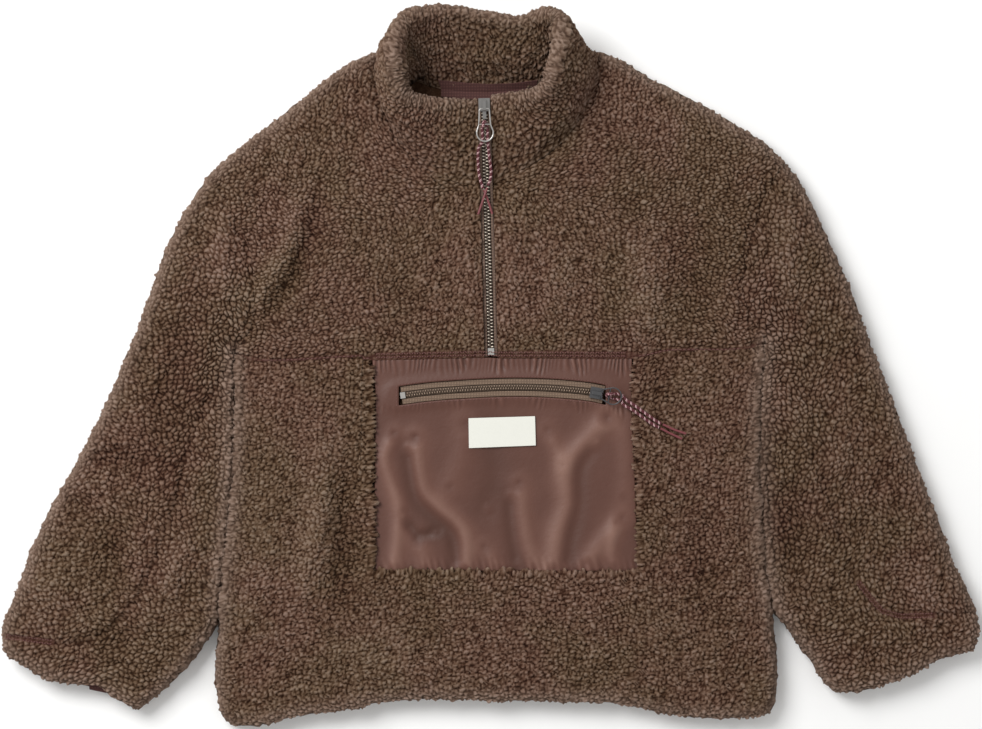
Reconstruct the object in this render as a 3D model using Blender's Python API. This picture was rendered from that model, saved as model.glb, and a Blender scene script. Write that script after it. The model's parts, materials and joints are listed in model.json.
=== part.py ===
"""A child's half-zip pullover jacket in curly sherpa pile, laid flat on its back, front up.

Tables are in millimetres: x to the right, y towards the collar, z up from the surface that the
jacket lies on. The meshes are in metres. The right and left of a name are those of the picture,
seen from above. Every panel is a closed wall between a top and an under surface, and panels that
are sewn together share the points of their seam, 0.3 mm apart.
"""

import math

import bmesh
import bpy
import numpy as np

MM = 0.001
LAY_SHIFT = (0.0, 2.45)

# Cloth and how it lies
SEAM_GAP = 0.34
PILE_CLOTH = 8.0
BACK_TOP = 8.0
FRONT_TOP = 19.5
LEAST_LAYER_GAP = 0.6
MID_PLANE = 9.0
EDGE_ROUND = 9.0
EDGE_RIM = 0.8
HEM_ROUND = 6.0
HEM_DROP = 3.0
UNDERARM_FADE = 90.0
RING_RECESS = 1.5
UNDERARM_SPREAD = (0.6, 0.25)
SEAM_DIP = 1.6
SEAM_DIP_WIDTH = 5.0

# Outline and seams, each a smooth curve through (x, y)
SIDE_LEFT = ((-190.9, -270.6), (-200.2, -264.5), (-204.0, -251.6), (-206.4, -236.6), (-205.6, -221.6),
             (-203.6, -195.4), (-199.1, -146.6), (-195.4, -116.6), (-191.6, -64.1), (-191.0, -26.6),
             (-191.8, -8.0), (-190.9, 7.9))
ARMHOLE_LEFT = ((-190.9, 7.9), (-187.6, 15.0), (-180.4, 25.9), (-176.6, 40.9), (-175.9, 55.9),
                (-177.4, 76.9), (-181.1, 89.6), (-187.9, 103.1), (-197.6, 121.1), (-211.9, 140.6))
SHOULDER_LEFT = ((-211.9, 140.6), (-198.4, 153.4), (-179.6, 168.4), (-160.1, 183.4), (-141.4, 198.4),
                 (-123.4, 213.4), (-102.4, 227.4), (-82.9, 235.1))
SHOULDER_RIGHT = ((81.4, 233.6), (98.9, 226.9), (121.1, 213.4), (151.1, 198.4), (176.6, 183.4),
                  (201.4, 168.4), (218.6, 153.4))
ARMHOLE_RIGHT = ((204.9, 15.2), (200.7, 26.4), (193.6, 38.2), (188.6, 50.4), (187.9, 67.1),
                 (192.4, 89.6), (199.9, 112.1), (209.6, 134.6), (218.6, 153.4))
SIDE_RIGHT = ((209.6, -261.0), (213.6, -251.6), (214.9, -229.1), (213.4, -206.6), (211.1, -191.6),
              (204.6, -146.6), (200.8, -86.6), (200.6, -41.6), (202.2, -11.6), (204.9, 15.2))
HEM = ((-190.9, -270.6), (-172.9, -269.8), (-142.9, -262.9), (-112.9, -259.1), (-82.9, -253.1),
       (-37.9, -250.1), (7.1, -251.6), (52.1, -251.6), (97.1, -253.9), (127.1, -260.6),
       (157.1, -264.4), (187.1, -264.4), (209.6, -261.0))
YOKE_SEAM = ((-190.9, 7.9), (-178.1, 3.4), (-154.9, 2.4), (-99.4, 5.4), (-88.9, 3.6), (-11.6, 5.2),
             (6.4, 4.9), (45.4, 4.9), (106.1, 4.9), (136.1, 10.0), (181.9, 10.6), (204.9, 15.2))
NECK_BACK = ((-82.9, 235.1), (-72.4, 222.4), (-58.9, 214.1), (-37.9, 208.1), (-4.1, 205.9),
             (29.6, 208.1), (52.1, 213.4), (70.9, 222.4), (81.4, 233.6))
NECK_FRONT_LEFT = ((-7.9, 133.9), (-30.4, 138.4), (-52.9, 151.9), (-70.9, 172.9), (-82.2, 198.4),
                   (-84.6, 219.4), (-82.9, 235.1))
NECK_FRONT_RIGHT = ((1.9, 135.4), (25.9, 147.4), (49.1, 163.9), (64.9, 181.9), (74.6, 198.4),
                    (79.6, 217.1), (81.4, 233.6))
SLEEVE_LEFT_OUTER = ((-211.9, 140.6), (-222.4, 124.4), (-232.1, 108.4), (-243.4, 85.9), (-250.9, 63.4),
                     (-257.6, 45.4), (-267.4, 18.4), (-286.9, -26.6), (-301.1, -56.6), (-317.6, -86.6),
                     (-334.1, -116.6), (-346.9, -146.6), (-357.4, -176.6), (-364.1, -191.6),
                     (-365.6, -206.6))
SLEEVE_LEFT_INNER = ((-191.2, 7.7), (-193.0, -4.0), (-192.6, -26.6), (-193.0, -64.1), (-196.8, -116.6),
                     (-200.5, -146.6), (-205.0, -193.1), (-213.6, -207.6), (-223.6, -221.6),
                     (-237.4, -236.6), (-254.6, -251.6), (-265.1, -258.4))
CUFF_LEFT = ((-365.6, -206.6), (-360.6, -217.6), (-350.9, -224.4), (-337.9, -232.4), (-322.9, -237.9),
             (-307.9, -239.9), (-292.9, -244.1), (-277.9, -251.6), (-265.1, -258.4))
SLEEVE_RIGHT_OUTER = ((218.6, 153.4), (230.6, 138.4), (238.9, 123.4), (253.1, 93.4), (266.6, 63.4),
                      (277.9, 33.4), (289.1, 3.4), (301.1, -26.6), (323.6, -86.6), (335.6, -116.6),
                      (346.1, -146.6), (355.9, -167.4), (363.4, -184.1), (365.6, -197.4))
SLEEVE_RIGHT_INNER = ((205.2, 15.0), (203.6, -11.6), (201.9, -41.6), (202.1, -86.6), (205.9, -146.6),
                      (212.2, -181.1), (219.2, -193.1), (229.4, -207.6), (240.0, -221.6),
                      (248.6, -235.6), (259.9, -245.6))
CUFF_RIGHT = ((365.6, -197.4), (361.6, -212.1), (352.1, -216.4), (337.1, -220.6), (322.1, -227.6),
              (307.1, -235.1), (292.1, -240.6), (277.1, -244.4), (259.9, -245.6))

# Where the seams and edges are cut into points, as shares of each curve's length
ARMHOLE_STEPS = (0, 0.01, 0.03, 0.065, 0.15, 0.25, 0.36, 0.48, 0.60, 0.71, 0.82, 0.935, 0.97, 0.99, 1)
NECK_FRONT_STEPS = (0, 0.16, 0.32, 0.48, 0.64, 0.79, 0.91, 0.965, 0.99, 1)
NECK_BACK_STEPS = (0, 0.02, 0.07, 0.16, 0.27, 0.39, 0.5, 0.61, 0.73, 0.84, 0.93, 0.98, 1)
ZIP_EDGE_STEPS = (0, 0.03, 0.12, 0.36, 0.68, 1)
SIDE_LOW_STEPS = (0, 0.015, 0.05, 0.12, 0.30, 0.48, 0.66, 0.83, 1)
SIDE_HIGH_STEPS = (0, 0.03, 0.13, 0.25, 0.37, 0.49, 0.61, 0.73, 0.85, 0.95, 1)
SHOULDER_STEPS = (0, 0.008, 0.025, 0.06, 0.12, 0.19, 0.27, 0.35, 0.43, 0.51, 0.59, 0.67, 0.75, 0.83,
                  0.90, 0.96, 1)
BACK_SHOULDER_STEPS = (0, 0.008, 0.025, 0.06, 0.19, 0.35, 0.51, 0.67, 0.83, 1)
SLEEVE_OUTER_STEPS = (0, 0.045, 0.10, 0.155, 0.21, 0.27, 0.33, 0.39, 0.455, 0.52, 0.58, 0.64, 0.70,
                      0.765, 0.835, 0.90, 0.955, 0.985, 1)
SLEEVE_INNER_STEPS = (0, 0.012, 0.03, 0.055, 0.09, 0.14, 0.20, 0.27, 0.35, 0.43, 0.51, 0.59, 0.67,
                      0.75, 0.83, 0.90, 0.955, 0.985, 1)
CUFF_STEPS = ARMHOLE_STEPS
YOKE_SIDE_STEPS = (0, 0.015, 0.04, 0.09, 0.19, 0.34, 0.50, 0.66, 0.83, 1)
YOKE_SIDE_RIGHT_STEPS = (0, 0.17, 0.34, 0.50, 0.66, 0.81, 0.91, 0.96, 0.985, 1)
YOKE_HALF_STEPS = (0, 0.018, 0.17, 0.34, 0.5, 0.67, 0.84, 1)

# Largest folds: a bowed ridge (or trough, where height is negative) from one end to the other
# start x, start y, end x, end y, bow to its left, half width, height
FOLDS = (
    (-186.0, 34.0, -138.0, 128.0, -7.0, 9.0, 1.8),
    (-172.0, 30.0, -124.0, 134.0, -8.0, 8.0, -2.2),
    (108.0, 92.0, 119.0, 20.0, 4.0, 13.0, 2.0),
    (149.0, 104.0, 157.0, 24.0, 0.0, 14.0, -1.3),
    (-127.0, -48.0, -146.0, -188.0, 9.0, 11.0, 2.4),
    (-108.0, -70.0, -110.0, -196.0, 0.0, 11.0, -2.0),
    (122.0, 10.0, 132.0, -36.0, 0.0, 10.0, -1.3),
    (150.0, -96.0, 160.0, -196.0, 5.0, 14.0, -1.2),
    (-120.0, -200.0, -34.0, -232.0, -8.0, 16.0, 1.2),
    (-168.0, -96.0, -176.0, -214.0, -4.0, 13.0, 1.0),
    (-190.0, 132.0, -197.0, 44.0, -7.0, 8.0, 1.6),
    (-226.0, 44.0, -246.0, -96.0, 0.0, 18.0, -2.2),
    (-299.0, -68.0, -250.0, -82.0, 4.0, 8.0, -2.2),
    (-342.0, -140.0, -330.0, -196.0, 3.0, 13.0, 1.5),
    (-286.0, -112.0, -280.0, -166.0, 0.0, 12.0, -1.5),
    (-226.0, -128.0, -246.0, -180.0, 0.0, 8.0, 1.6),
    (-300.0, -214.0, -262.0, -200.0, 0.0, 8.0, -1.4),
    (221.0, 124.0, 222.0, 44.0, 3.0, 10.0, 1.6),
    (222.0, -84.0, 228.0, -160.0, 0.0, 15.0, -2.2),
    (216.0, -10.0, 237.0, -60.0, 3.0, 8.0, 1.6),
    (270.0, -40.0, 258.0, -92.0, -3.0, 9.0, 1.2),
    (280.0, 4.0, 252.0, 10.0, 2.0, 8.0, -1.4),
    (318.0, -150.0, 330.0, -200.0, 3.0, 12.0, 1.2),
)

# Collar: one row for each rib, from the zip round by the back to the zip again. The rim is the
# middle of the collar's rounded top edge; share is how far round its neck seam the rib stands.
COLLAR_FOOT = 8.0
COLLAR_CENTRE = (-8.0, 196.0)
NEAR_FOOT = 9.0
FOOT_FLARE = 1.3
WALL_GROWTH = 0.45
RIM_FROM = 0.5
RIM_BLEND = 0.3
COLLAR_LEVELS = (0.0, 0.14, 0.34, 0.56, 0.78, 1.0)
RIM_TURNS = (45.0, 90.0, 135.0)
# seam, share, rim x, rim y, rim z, bow, foot (how far its inner edge stands in from the seam), wall
COLLAR_RIBS = (
    ("front_left", 0.00, -9.6, 192.8, 28.6, 0.5, 2.0, 9.0),
    ("front_left", 0.20, -30.4, 191.4, 32.6, 2.0, 2.0, 12.0),
    ("front_left", 0.42, -50.4, 191.6, 37.0, 3.0, 3.0, 14.0),
    ("front_left", 0.64, -63.2, 197.6, 42.0, 2.5, 8.0, 16.0),
    ("front_left", 0.80, -69.2, 209.6, 47.0, 1.2, 20.0, 16.5),
    ("front_left", 0.92, -70.6, 223.6, 50.0, 0.8, 32.0, 16.5),
    ("front_left", 1.00, -70.0, 238.0, 50.0, 0.8, 40.0, 16.0),
    ("back", 0.10, -64.8, 250.8, 47.0, 1.5, 26.0, 15.0),
    ("back", 0.22, -50.0, 258.2, 41.0, 2.0, 10.0, 13.5),
    ("back", 0.36, -31.6, 259.8, 36.0, 1.0, 3.0, 12.5),
    ("back", 0.50, -4.1, 256.8, 32.0, 0.0, 2.0, 12.0),
    ("back", 0.64, 20.6, 253.4, 33.0, 0.0, 3.0, 12.0),
    ("back", 0.78, 40.6, 257.2, 40.0, 1.0, 9.0, 13.5),
    ("back", 0.90, 51.6, 252.4, 46.0, 2.0, 24.0, 15.0),
    ("front_right", 1.00, 52.4, 238.4, 48.0, 2.0, 38.0, 16.0),
    ("front_right", 0.92, 49.4, 223.6, 48.0, 2.0, 32.0, 16.5),
    ("front_right", 0.80, 46.2, 210.4, 46.0, 2.0, 22.0, 16.0),
    ("front_right", 0.62, 39.6, 200.6, 42.0, 2.5, 8.0, 15.0),
    ("front_right", 0.42, 29.6, 196.8, 37.0, 2.5, 3.0, 13.5),
    ("front_right", 0.20, 15.4, 196.6, 32.6, 2.0, 2.0, 12.0),
    ("front_right", 0.00, 0.2, 195.0, 29.0, 0.5, 2.0, 9.0),
)

# Pocket: a satin pouch in a low place of the lower front, caught in the cross seam above
POCKET_LEFT = ((-88.9, 3.6), (-88.6, -60.0), (-87.4, -154.1))
POCKET_RIGHT = ((106.1, 4.9), (108.4, -70.0), (111.4, -155.6))
POCKET_LOW_TOP = 13.6
POCKET_LOW_WALL = 3.2
POCKET_STEP = 1.4
SATIN = 0.9
SATIN_TOP = 17.4
SATIN_LEAST_TOP = 15.9
SATIN_MARGIN = 2.2
SLOT_LIP = 1.3
SLOT_LIP_WIDTH = 5.0
SATIN_FOLDS = (
    (-67.0, -48.0, -19.0, -154.0, 10.0, 5.0, 2.4),
    (-60.0, -60.0, -30.0, -150.0, 6.0, 5.0, -1.2),
    (84.0, -42.0, 52.0, -76.0, -2.0, 6.0, 2.2),
    (56.0, -72.0, 46.0, -154.0, -3.0, 5.0, 2.2),
    (30.0, -110.0, 36.0, -152.0, 2.0, 5.0, 1.6),
    (97.0, -116.0, 74.0, -146.0, -3.0, 8.0, 2.0),
    (-78.0, -30.0, -80.0, -110.0, 2.0, 5.0, 1.8),
    (-86.0, -102.0, -64.0, -122.0, 2.0, 4.0, 1.6),
    (-26.0, -70.0, -30.0, -110.0, 2.0, 8.0, -1.0),
)

# Label, its corners anticlockwise from the lower left
LABEL = ((-16.1, -62.4), (33.8, -60.4), (33.2, -38.6), (-16.4, -40.1))
LABEL_THICK = 0.7
LABEL_LIFT = 0.35

# Zips. A zip's path is the middle of its closed teeth.
SLOT_HALF = 4.9
TEETH_HALF = 2.3
TEETH_HIGH = 1.3
TAPE_HALF_THICK = 0.45
PART_GAP = 0.35
# y, z of the neck zip, which runs straight in plan
NECK_ZIP_LOW = (0.55, 5.4)
NECK_ZIP_HIGH = (-4.8, 197.0)
NECK_ZIP_HEIGHTS = ((5.4, 16.4), (60.0, 16.8), (118.0, 17.0), (134.0, 18.6), (150.0, 23.0),
                    (170.0, 27.8), (185.0, 31.0), (197.0, 32.4))
NECK_ZIP_TOP_STOP = 0.965
# x, y of the pocket zip
POCKET_ZIP = ((-69.5, -23.6), (-45.4, -20.4), (-15.4, -18.2), (14.6, -17.0), (44.6, -17.7),
              (73.1, -20.3), (87.5, -23.3))
POCKET_ZIP_HEIGHT = 17.1
POCKET_SLOT_HALF = 7.0
POCKET_CHAIN_END = 0.938

# Slider and pull: forward runs from the slider to the pull's free end, out is up from the zip
SLIDER_HALF_LONG = 4.8
SLIDER_HALF_WIDE = 4.2
SLIDER_HALF_HIGH = 2.7
CHANNEL_HALF_HIGH = 1.75
SLIDER_POST = 1.4
SLIDER_POST_HALF = 2.1
BAIL_HALF_WIDE = 1.3
BAIL_UNDER = 5.6
BAIL_TOP = 6.6
HINGE_FORWARD = 2.8
HINGE_OUT = 4.3
WIRE = 0.55
PULL_HINGE_HALF = 3.3
PULL_BOW_RADIUS = 6.2
NECK_SLIDER_AT = 192.7
NECK_PULL = {"bar": 14.35, "end": 26.9, "end_out": 6.2}
NECK_NOSE = 10.4
POCKET_SLIDER_AT = 79.1
POCKET_PULL = {"bar": 9.6, "end": 18.6, "end_out": 6.6}

# Cords: their routes by hand, x, y, z
CORD = 2.3
TIP = 1.7
BIGHT_RADIUS = 2.1
BIGHT_SPREAD = 1.5
BOW_SPREAD = 2.0
BOW_BEHIND = 2.4
NECK_CORD_LEFT = ((-8.4, 161.5, 29.2), (-9.2, 157.0, 27.7), (-9.2, 151.0, 26.0), (-8.8, 144.7, 24.3),
                  (-8.0, 139.5, 22.9), (-6.6, 134.5, 22.1), (-5.4, 131.2, 21.9))
NECK_CORD_RIGHT = ((-1.5, 160.0, 29.4), (-0.8, 153.5, 27.4), (0.2, 147.0, 25.3), (0.4, 142.0, 24.2),
                   (-0.4, 137.0, 23.8), (-2.0, 133.2, 24.0))
NECK_TIP_LEFT = ((-4.9, 130.2, 21.6), (-1.6, 121.4, 20.9), (1.3, 112.4, 20.2))
NECK_TIP_RIGHT = ((-2.5, 131.8, 24.0), (-5.6, 122.4, 22.8), (-9.2, 112.0, 21.0))
POCKET_CORD_UPPER = ((101.4, -26.6, 21.5), (106.5, -29.9, 22.1), (112.2, -34.0, 22.0), (118.0, -38.2, 21.8),
                     (123.0, -41.8, 21.7), (127.2, -44.2, 21.7))
POCKET_CORD_LOWER = ((99.4, -30.2, 21.3), (104.2, -32.8, 22.1), (109.8, -36.6, 22.0), (115.6, -40.8, 21.8),
                     (120.8, -44.4, 21.7), (125.6, -47.0, 21.7))
POCKET_TIP_UPPER = ((128.4, -44.6, 21.6), (136.6, -48.4, 21.4), (145.6, -51.6, 21.3))
POCKET_TIP_LOWER = ((126.8, -47.6, 21.6), (134.6, -51.6, 21.4), (142.8, -55.4, 21.3))

# Facings
FACING = 1.0
NECK_FACING_RIBS = (0.26, 0.74)
CUFF_FACING = ((-303.0, -229.0), (-286.0, -234.0), (-288.4, -246.2), (-300.6, -243.6))
CUFF_FACING_LOW = 9.0

COLOURS = {
    "sherpa": (0.110, 0.062, 0.040),
    "facing": (0.055, 0.022, 0.020),
    "satin": (0.160, 0.080, 0.062),
    "label": (0.80, 0.79, 0.72),
    "tape": (0.115, 0.068, 0.048),
    "teeth": (0.20, 0.16, 0.12),
    "nickel": (0.62, 0.60, 0.57),
    "gunmetal": (0.10, 0.10, 0.105),
    "cord": (0.25, 0.04, 0.045),
    "tip": (0.20, 0.035, 0.04),
}
METALS = ("teeth", "nickel", "gunmetal")


# Curves

def smooth(points, per_span=16):
    """A fine polyline through the points, each span a cubic whose end slopes are Catmull and Rom's."""
    p = np.array(points, float)
    p = np.vstack((2 * p[0] - p[1], p, 2 * p[-1] - p[-2]))
    t = np.linspace(0, 1, per_span, endpoint=False)[:, None]
    spans = []
    for a, b, c, d in zip(p[:-3], p[1:-2], p[2:-1], p[3:]):
        spans.append(0.5 * (2 * b + (c - a) * t + (2 * a - 5 * b + 4 * c - d) * t ** 2
                            + (3 * b - 3 * c + d - a) * t ** 3))
    return np.vstack(spans + [p[-2:-1]])


def arc_lengths(line):
    """The length along the polyline at each of its points."""
    return np.concatenate(([0], np.cumsum(np.linalg.norm(np.diff(line, axis=0), axis=1))))


def along(line, shares):
    """Points at the shares (0 to 1) of a polyline's length."""
    lengths = arc_lengths(line)
    wanted = np.asarray(shares, float) * lengths[-1]
    return np.stack([np.interp(wanted, lengths, line[:, k]) for k in range(line.shape[1])], axis=1)


def beside(line, offset):
    """The polyline moved sideways, to its left where offset is positive."""
    step = np.gradient(line[:, :2], axis=0)
    step /= np.linalg.norm(step, axis=1)[:, None]
    moved = line.copy()
    moved[:, :2] += offset * np.stack((-step[:, 1], step[:, 0]), axis=1)
    return moved


def distance(points, line):
    """The distance in plan from each point to the polyline."""
    a, b = line[:-1, :2], line[1:, :2]
    ab = b - a
    ap = points[..., None, :2] - a
    share = np.clip((ap * ab).sum(-1) / np.maximum((ab ** 2).sum(-1), 1e-9), 0, 1)
    return np.linalg.norm(ap - share[..., None] * ab, axis=-1).min(axis=-1)


def fold_relief(points, folds):
    """The sum of bowed ridges: each a bell across its line, fading out at both ends."""
    total = np.zeros(points.shape[:-1])
    for x0, y0, x1, y1, bow, width, height in folds:
        start, end = np.array((x0, y0)), np.array((x1, y1))
        run = end - start
        side = np.array((-run[1], run[0])) / np.linalg.norm(run)
        middle = (start + end) / 2 + side * bow
        line = smooth((start, middle, end), 8)
        share = np.clip(((points[..., :2] - start) @ run) / (run @ run), 0, 1)
        fade = np.sin(np.pi * np.clip(share, 0.02, 0.98)) ** 0.6
        total += height * fade * np.exp(-(distance(points, line) / width) ** 2)
    return total


LINES = {name: smooth(points) for name, points in (
    ("side_left", SIDE_LEFT), ("side_right", SIDE_RIGHT),
    ("armhole_left", ARMHOLE_LEFT), ("armhole_right", ARMHOLE_RIGHT),
    ("shoulder_left", SHOULDER_LEFT), ("shoulder_right", SHOULDER_RIGHT),
    ("hem", HEM), ("yoke", YOKE_SEAM), ("back", NECK_BACK),
    ("front_left", NECK_FRONT_LEFT), ("front_right", NECK_FRONT_RIGHT),
    ("sleeve_left_outer", SLEEVE_LEFT_OUTER), ("sleeve_left_inner", SLEEVE_LEFT_INNER),
    ("sleeve_right_outer", SLEEVE_RIGHT_OUTER), ("sleeve_right_inner", SLEEVE_RIGHT_INNER),
    ("cuff_left", CUFF_LEFT), ("cuff_right", CUFF_RIGHT),
    ("pocket_left", POCKET_LEFT), ("pocket_right", POCKET_RIGHT), ("pocket_zip", POCKET_ZIP),
)}
BODY_EDGES = ("side_left", "side_right", "shoulder_left", "shoulder_right")
SEAMS = ("armhole_left", "armhole_right", "yoke", "front_left", "front_right")


# Heights of the cloth

def nearest(points, names):
    return np.minimum.reduce([distance(points, LINES[name]) for name in names])


def rounding(away, radius):
    """0 at an edge and 1 a radius away, as a quarter of an ellipse rises."""
    return np.sqrt(np.clip(1 - (1 - np.clip(away / radius, 0, 1)) ** 2, 0, 1))


def cloth_top(points):
    """The front cloth's top, before its outer edges are rounded: folds, and a dip at each seam."""
    dips = SEAM_DIP * np.exp(-(nearest(points, SEAMS) / SEAM_DIP_WIDTH) ** 2)
    return FRONT_TOP + fold_relief(points, FOLDS) - dips


def front_heights(points, edges, ends):
    """Top and under heights of a front layer that rounds down to the middle plane at its edges."""
    full = cloth_top(points) - HEM_DROP * (1 - rounding(nearest(points, ends), HEM_ROUND))
    rise = rounding(nearest(points, edges), EDGE_ROUND)
    low = MID_PLANE + SEAM_GAP / 2
    top = low + EDGE_RIM + (full - low - EDGE_RIM) * rise
    under = low + (np.maximum(cloth_top(points) - PILE_CLOTH, BACK_TOP + LEAST_LAYER_GAP) - low) * rise
    return top, np.minimum(under, top - EDGE_RIM)


def back_heights(points, edges, ends):
    """Top and under heights of a back layer, flat below and rounding up at its edges."""
    rise = rounding(nearest(points, edges), EDGE_ROUND)
    high = MID_PLANE - SEAM_GAP / 2
    lift = (HEM_DROP - 0.5) * (1 - rounding(nearest(points, ends), HEM_ROUND))
    top = high + (BACK_TOP - high) * rise
    under = (high - EDGE_RIM) * (1 - rise)
    return top, np.minimum(np.maximum(under, lift), top - EDGE_RIM)


# Grids in plan

def coons(bottom, top, left, right):
    """A grid that fills the four edges: straight blends across and up, less the corners' blend."""
    u = (arc_lengths(bottom) / arc_lengths(bottom)[-1] + arc_lengths(top) / arc_lengths(top)[-1]) / 2
    v = (arc_lengths(left) / arc_lengths(left)[-1] + arc_lengths(right) / arc_lengths(right)[-1]) / 2
    u, v = u[None, :, None], v[:, None, None]
    flat = (1 - v) * bottom[None] + v * top[None] + (1 - u) * left[:, None] + u * right[:, None]
    corners = ((1 - v) * ((1 - u) * bottom[0] + u * bottom[-1])
               + v * ((1 - u) * top[0] + u * top[-1]))
    grid = flat - corners
    grid[0], grid[-1], grid[:, 0], grid[:, -1] = bottom, top, left, right
    return grid


def grid_cells(rows, columns, skip=lambda i, j: False):
    return [((i, j), (i, j + 1), (i + 1, j + 1), (i + 1, j))
            for i in range(rows - 1) for j in range(columns - 1) if not skip(i, j)]


# Meshes

def material(name):
    made = bpy.data.materials.get(name)
    if made is None:
        made = bpy.data.materials.new(name)
        made.use_nodes = True
        shader = made.node_tree.nodes["Principled BSDF"]
        shader.inputs["Base Color"].default_value = (*COLOURS[name], 1)
        shader.inputs["Metallic"].default_value = 1.0 if name in METALS else 0.0
        shader.inputs["Roughness"].default_value = 0.35 if name in METALS + ("satin",) else 0.9
    return made


def mesh_object(name, vertices, faces, finish):
    """An object of the vertices (in millimetres), with its faces turned outwards."""
    points = np.asarray(vertices, float) + (*LAY_SHIFT, 0)
    mesh = bpy.data.meshes.new(name)
    mesh.from_pydata((points * MM).tolist(), [], faces)
    work = bmesh.new()
    work.from_mesh(mesh)
    bmesh.ops.recalc_face_normals(work, faces=work.faces)
    work.to_mesh(mesh)
    work.free()
    mesh.shade_smooth()
    mesh.set_sharp_from_angle(angle=math.radians(50))
    mesh.materials.append(material(finish))
    made = bpy.data.objects.new(name, mesh)
    bpy.context.scene.collection.objects.link(made)
    return made


def wall(name, plan, top, under, finish, skip=lambda i, j: False):
    """A closed wall over a grid in plan: its top, its under side, and a side at every free edge."""
    rows, columns = plan.shape[:2]
    cells = grid_cells(rows, columns, skip)
    used = sorted({corner for cell in cells for corner in cell})
    number = {corner: n for n, corner in enumerate(used)}
    count = len(used)
    high = [(*plan[c], top[c]) for c in used]
    low = [(*plan[c], under[c]) for c in used]
    quads = [[number[c] for c in cell] for cell in cells]
    edges = {(quad[k], quad[(k + 1) % 4]) for quad in quads for k in range(4)}
    free = [(a, b) for a, b in edges if (b, a) not in edges]
    faces = quads + [[n + count for n in reversed(quad)] for quad in quads]
    faces += [[a, a + count, b + count, b] for a, b in sorted(free)]
    return mesh_object(name, high + low, faces, finish)


def tube_of_loops(name, loops, finish):
    """A closed body through loops of equal length, each loop joined to the next and both ends capped."""
    size = len(loops[0])
    vertices = [tuple(point) for loop in loops for point in loop]
    faces = [[i * size + k, i * size + (k + 1) % size, (i + 1) * size + (k + 1) % size, (i + 1) * size + k]
             for i in range(len(loops) - 1) for k in range(size)]
    faces += [list(range(size)), [(len(loops) - 1) * size + k for k in range(size)]]
    return mesh_object(name, vertices, faces, finish)


def strip(name, centre, half_width, low, high, finish):
    """A flat strip along a path: a rectangle from its left to its right and from low to high."""
    left, right = beside(centre, half_width[1]), beside(centre, half_width[0])
    loops = [[(*l[:2], l[2] + low), (*r[:2], r[2] + low), (*r[:2], r[2] + high), (*l[:2], l[2] + high)]
             for l, r in zip(left, right)]
    return tube_of_loops(name, loops, finish)


# Body panels

def armhole(side, offset):
    return along(beside(LINES["armhole_" + side], offset), ARMHOLE_STEPS)


def build_back():
    """The back: hem below, sides and armholes at the edges, shoulders and back neck above."""
    inset = SEAM_GAP / 2
    left_low, left_high = side_pieces("left")
    right_low, right_high = side_pieces("right")
    left = np.vstack((left_low[:-1], left_high[:-1:2], [underarm("left", 0)], armhole("left", -inset)[1:]))
    right = np.vstack((right_low[:-1], right_high[:-1:2], [underarm("right", 0)], armhole("right", inset)[1:]))
    shoulder_left = along(LINES["shoulder_left"], BACK_SHOULDER_STEPS)
    shoulder_right = along(LINES["shoulder_right"], 1 - np.array(BACK_SHOULDER_STEPS[::-1]))
    neck = along(beside(LINES["back"], -inset), NECK_BACK_STEPS)
    top = np.vstack((shoulder_left[:-1], neck, shoulder_right[1:]))
    top[0], top[-1] = left[-1], right[-1]
    hem = along(LINES["hem"], hem_shares(len(top)))
    hem[0], hem[-1] = left[0], right[0]
    plan = coons(hem, top, left, right)
    high, low = back_heights(plan, BODY_EDGES, ("hem",))
    return wall("back", plan, high, low, "sherpa")


def hem_shares(count):
    """Shares of the hem, close together where the sides round up."""
    close = (0, 0.004, 0.012, 0.026)
    middle = np.linspace(0.06, 0.94, count - 2 * len(close))
    return np.concatenate((close, middle, 1 - np.array(close[::-1])))


def side_pieces(side):
    """The side edge in two stretches that meet level with the pocket's lower edge."""
    line = LINES["side_" + side]
    level = LINES["pocket_" + side][-1, 1]
    split = np.interp(level, line[:, 1], arc_lengths(line)) / arc_lengths(line)[-1]
    low = along(line, np.array(SIDE_LOW_STEPS) * split)
    high = along(line, split + np.array(SIDE_HIGH_STEPS) * (1 - split))
    return low, high


def neck_zip_x(y):
    return np.interp(y, (NECK_ZIP_LOW[1], NECK_ZIP_HIGH[1]), (NECK_ZIP_LOW[0], NECK_ZIP_HIGH[0]))


def underarm(side, above):
    """The corner at the underarm of the panel above (1) or below (-1) the cross seam."""
    inward, apart = UNDERARM_SPREAD
    return LINES["armhole_" + side][0] + (inward if side == "left" else -inward, above * apart)


def yoke_pieces(offset):
    """The cross seam's points: outer left, inner left, inner right and outer right stretches."""
    line = beside(LINES["yoke"], offset)
    lengths = arc_lengths(line)
    cuts = [np.interp(x, line[:, 0], lengths) / lengths[-1] for x in
            (POCKET_LEFT[0][0], neck_zip_x(5) - SLOT_HALF, neck_zip_x(5) + SLOT_HALF, POCKET_RIGHT[0][0])]

    def stretch(start, end, steps):
        return along(line, start + np.array(steps) * (end - start))

    return (stretch(0, cuts[0], YOKE_SIDE_STEPS), stretch(cuts[0], cuts[1], YOKE_HALF_STEPS),
            stretch(cuts[2], cuts[3], 1 - np.array(YOKE_HALF_STEPS[::-1])),
            stretch(cuts[3], 1, YOKE_SIDE_RIGHT_STEPS))


def zip_edge(side, start, end):
    """The straight edge beside the neck zip, from the cross seam up to the neck."""
    return along(np.vstack((start, end)), ZIP_EDGE_STEPS)


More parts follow.
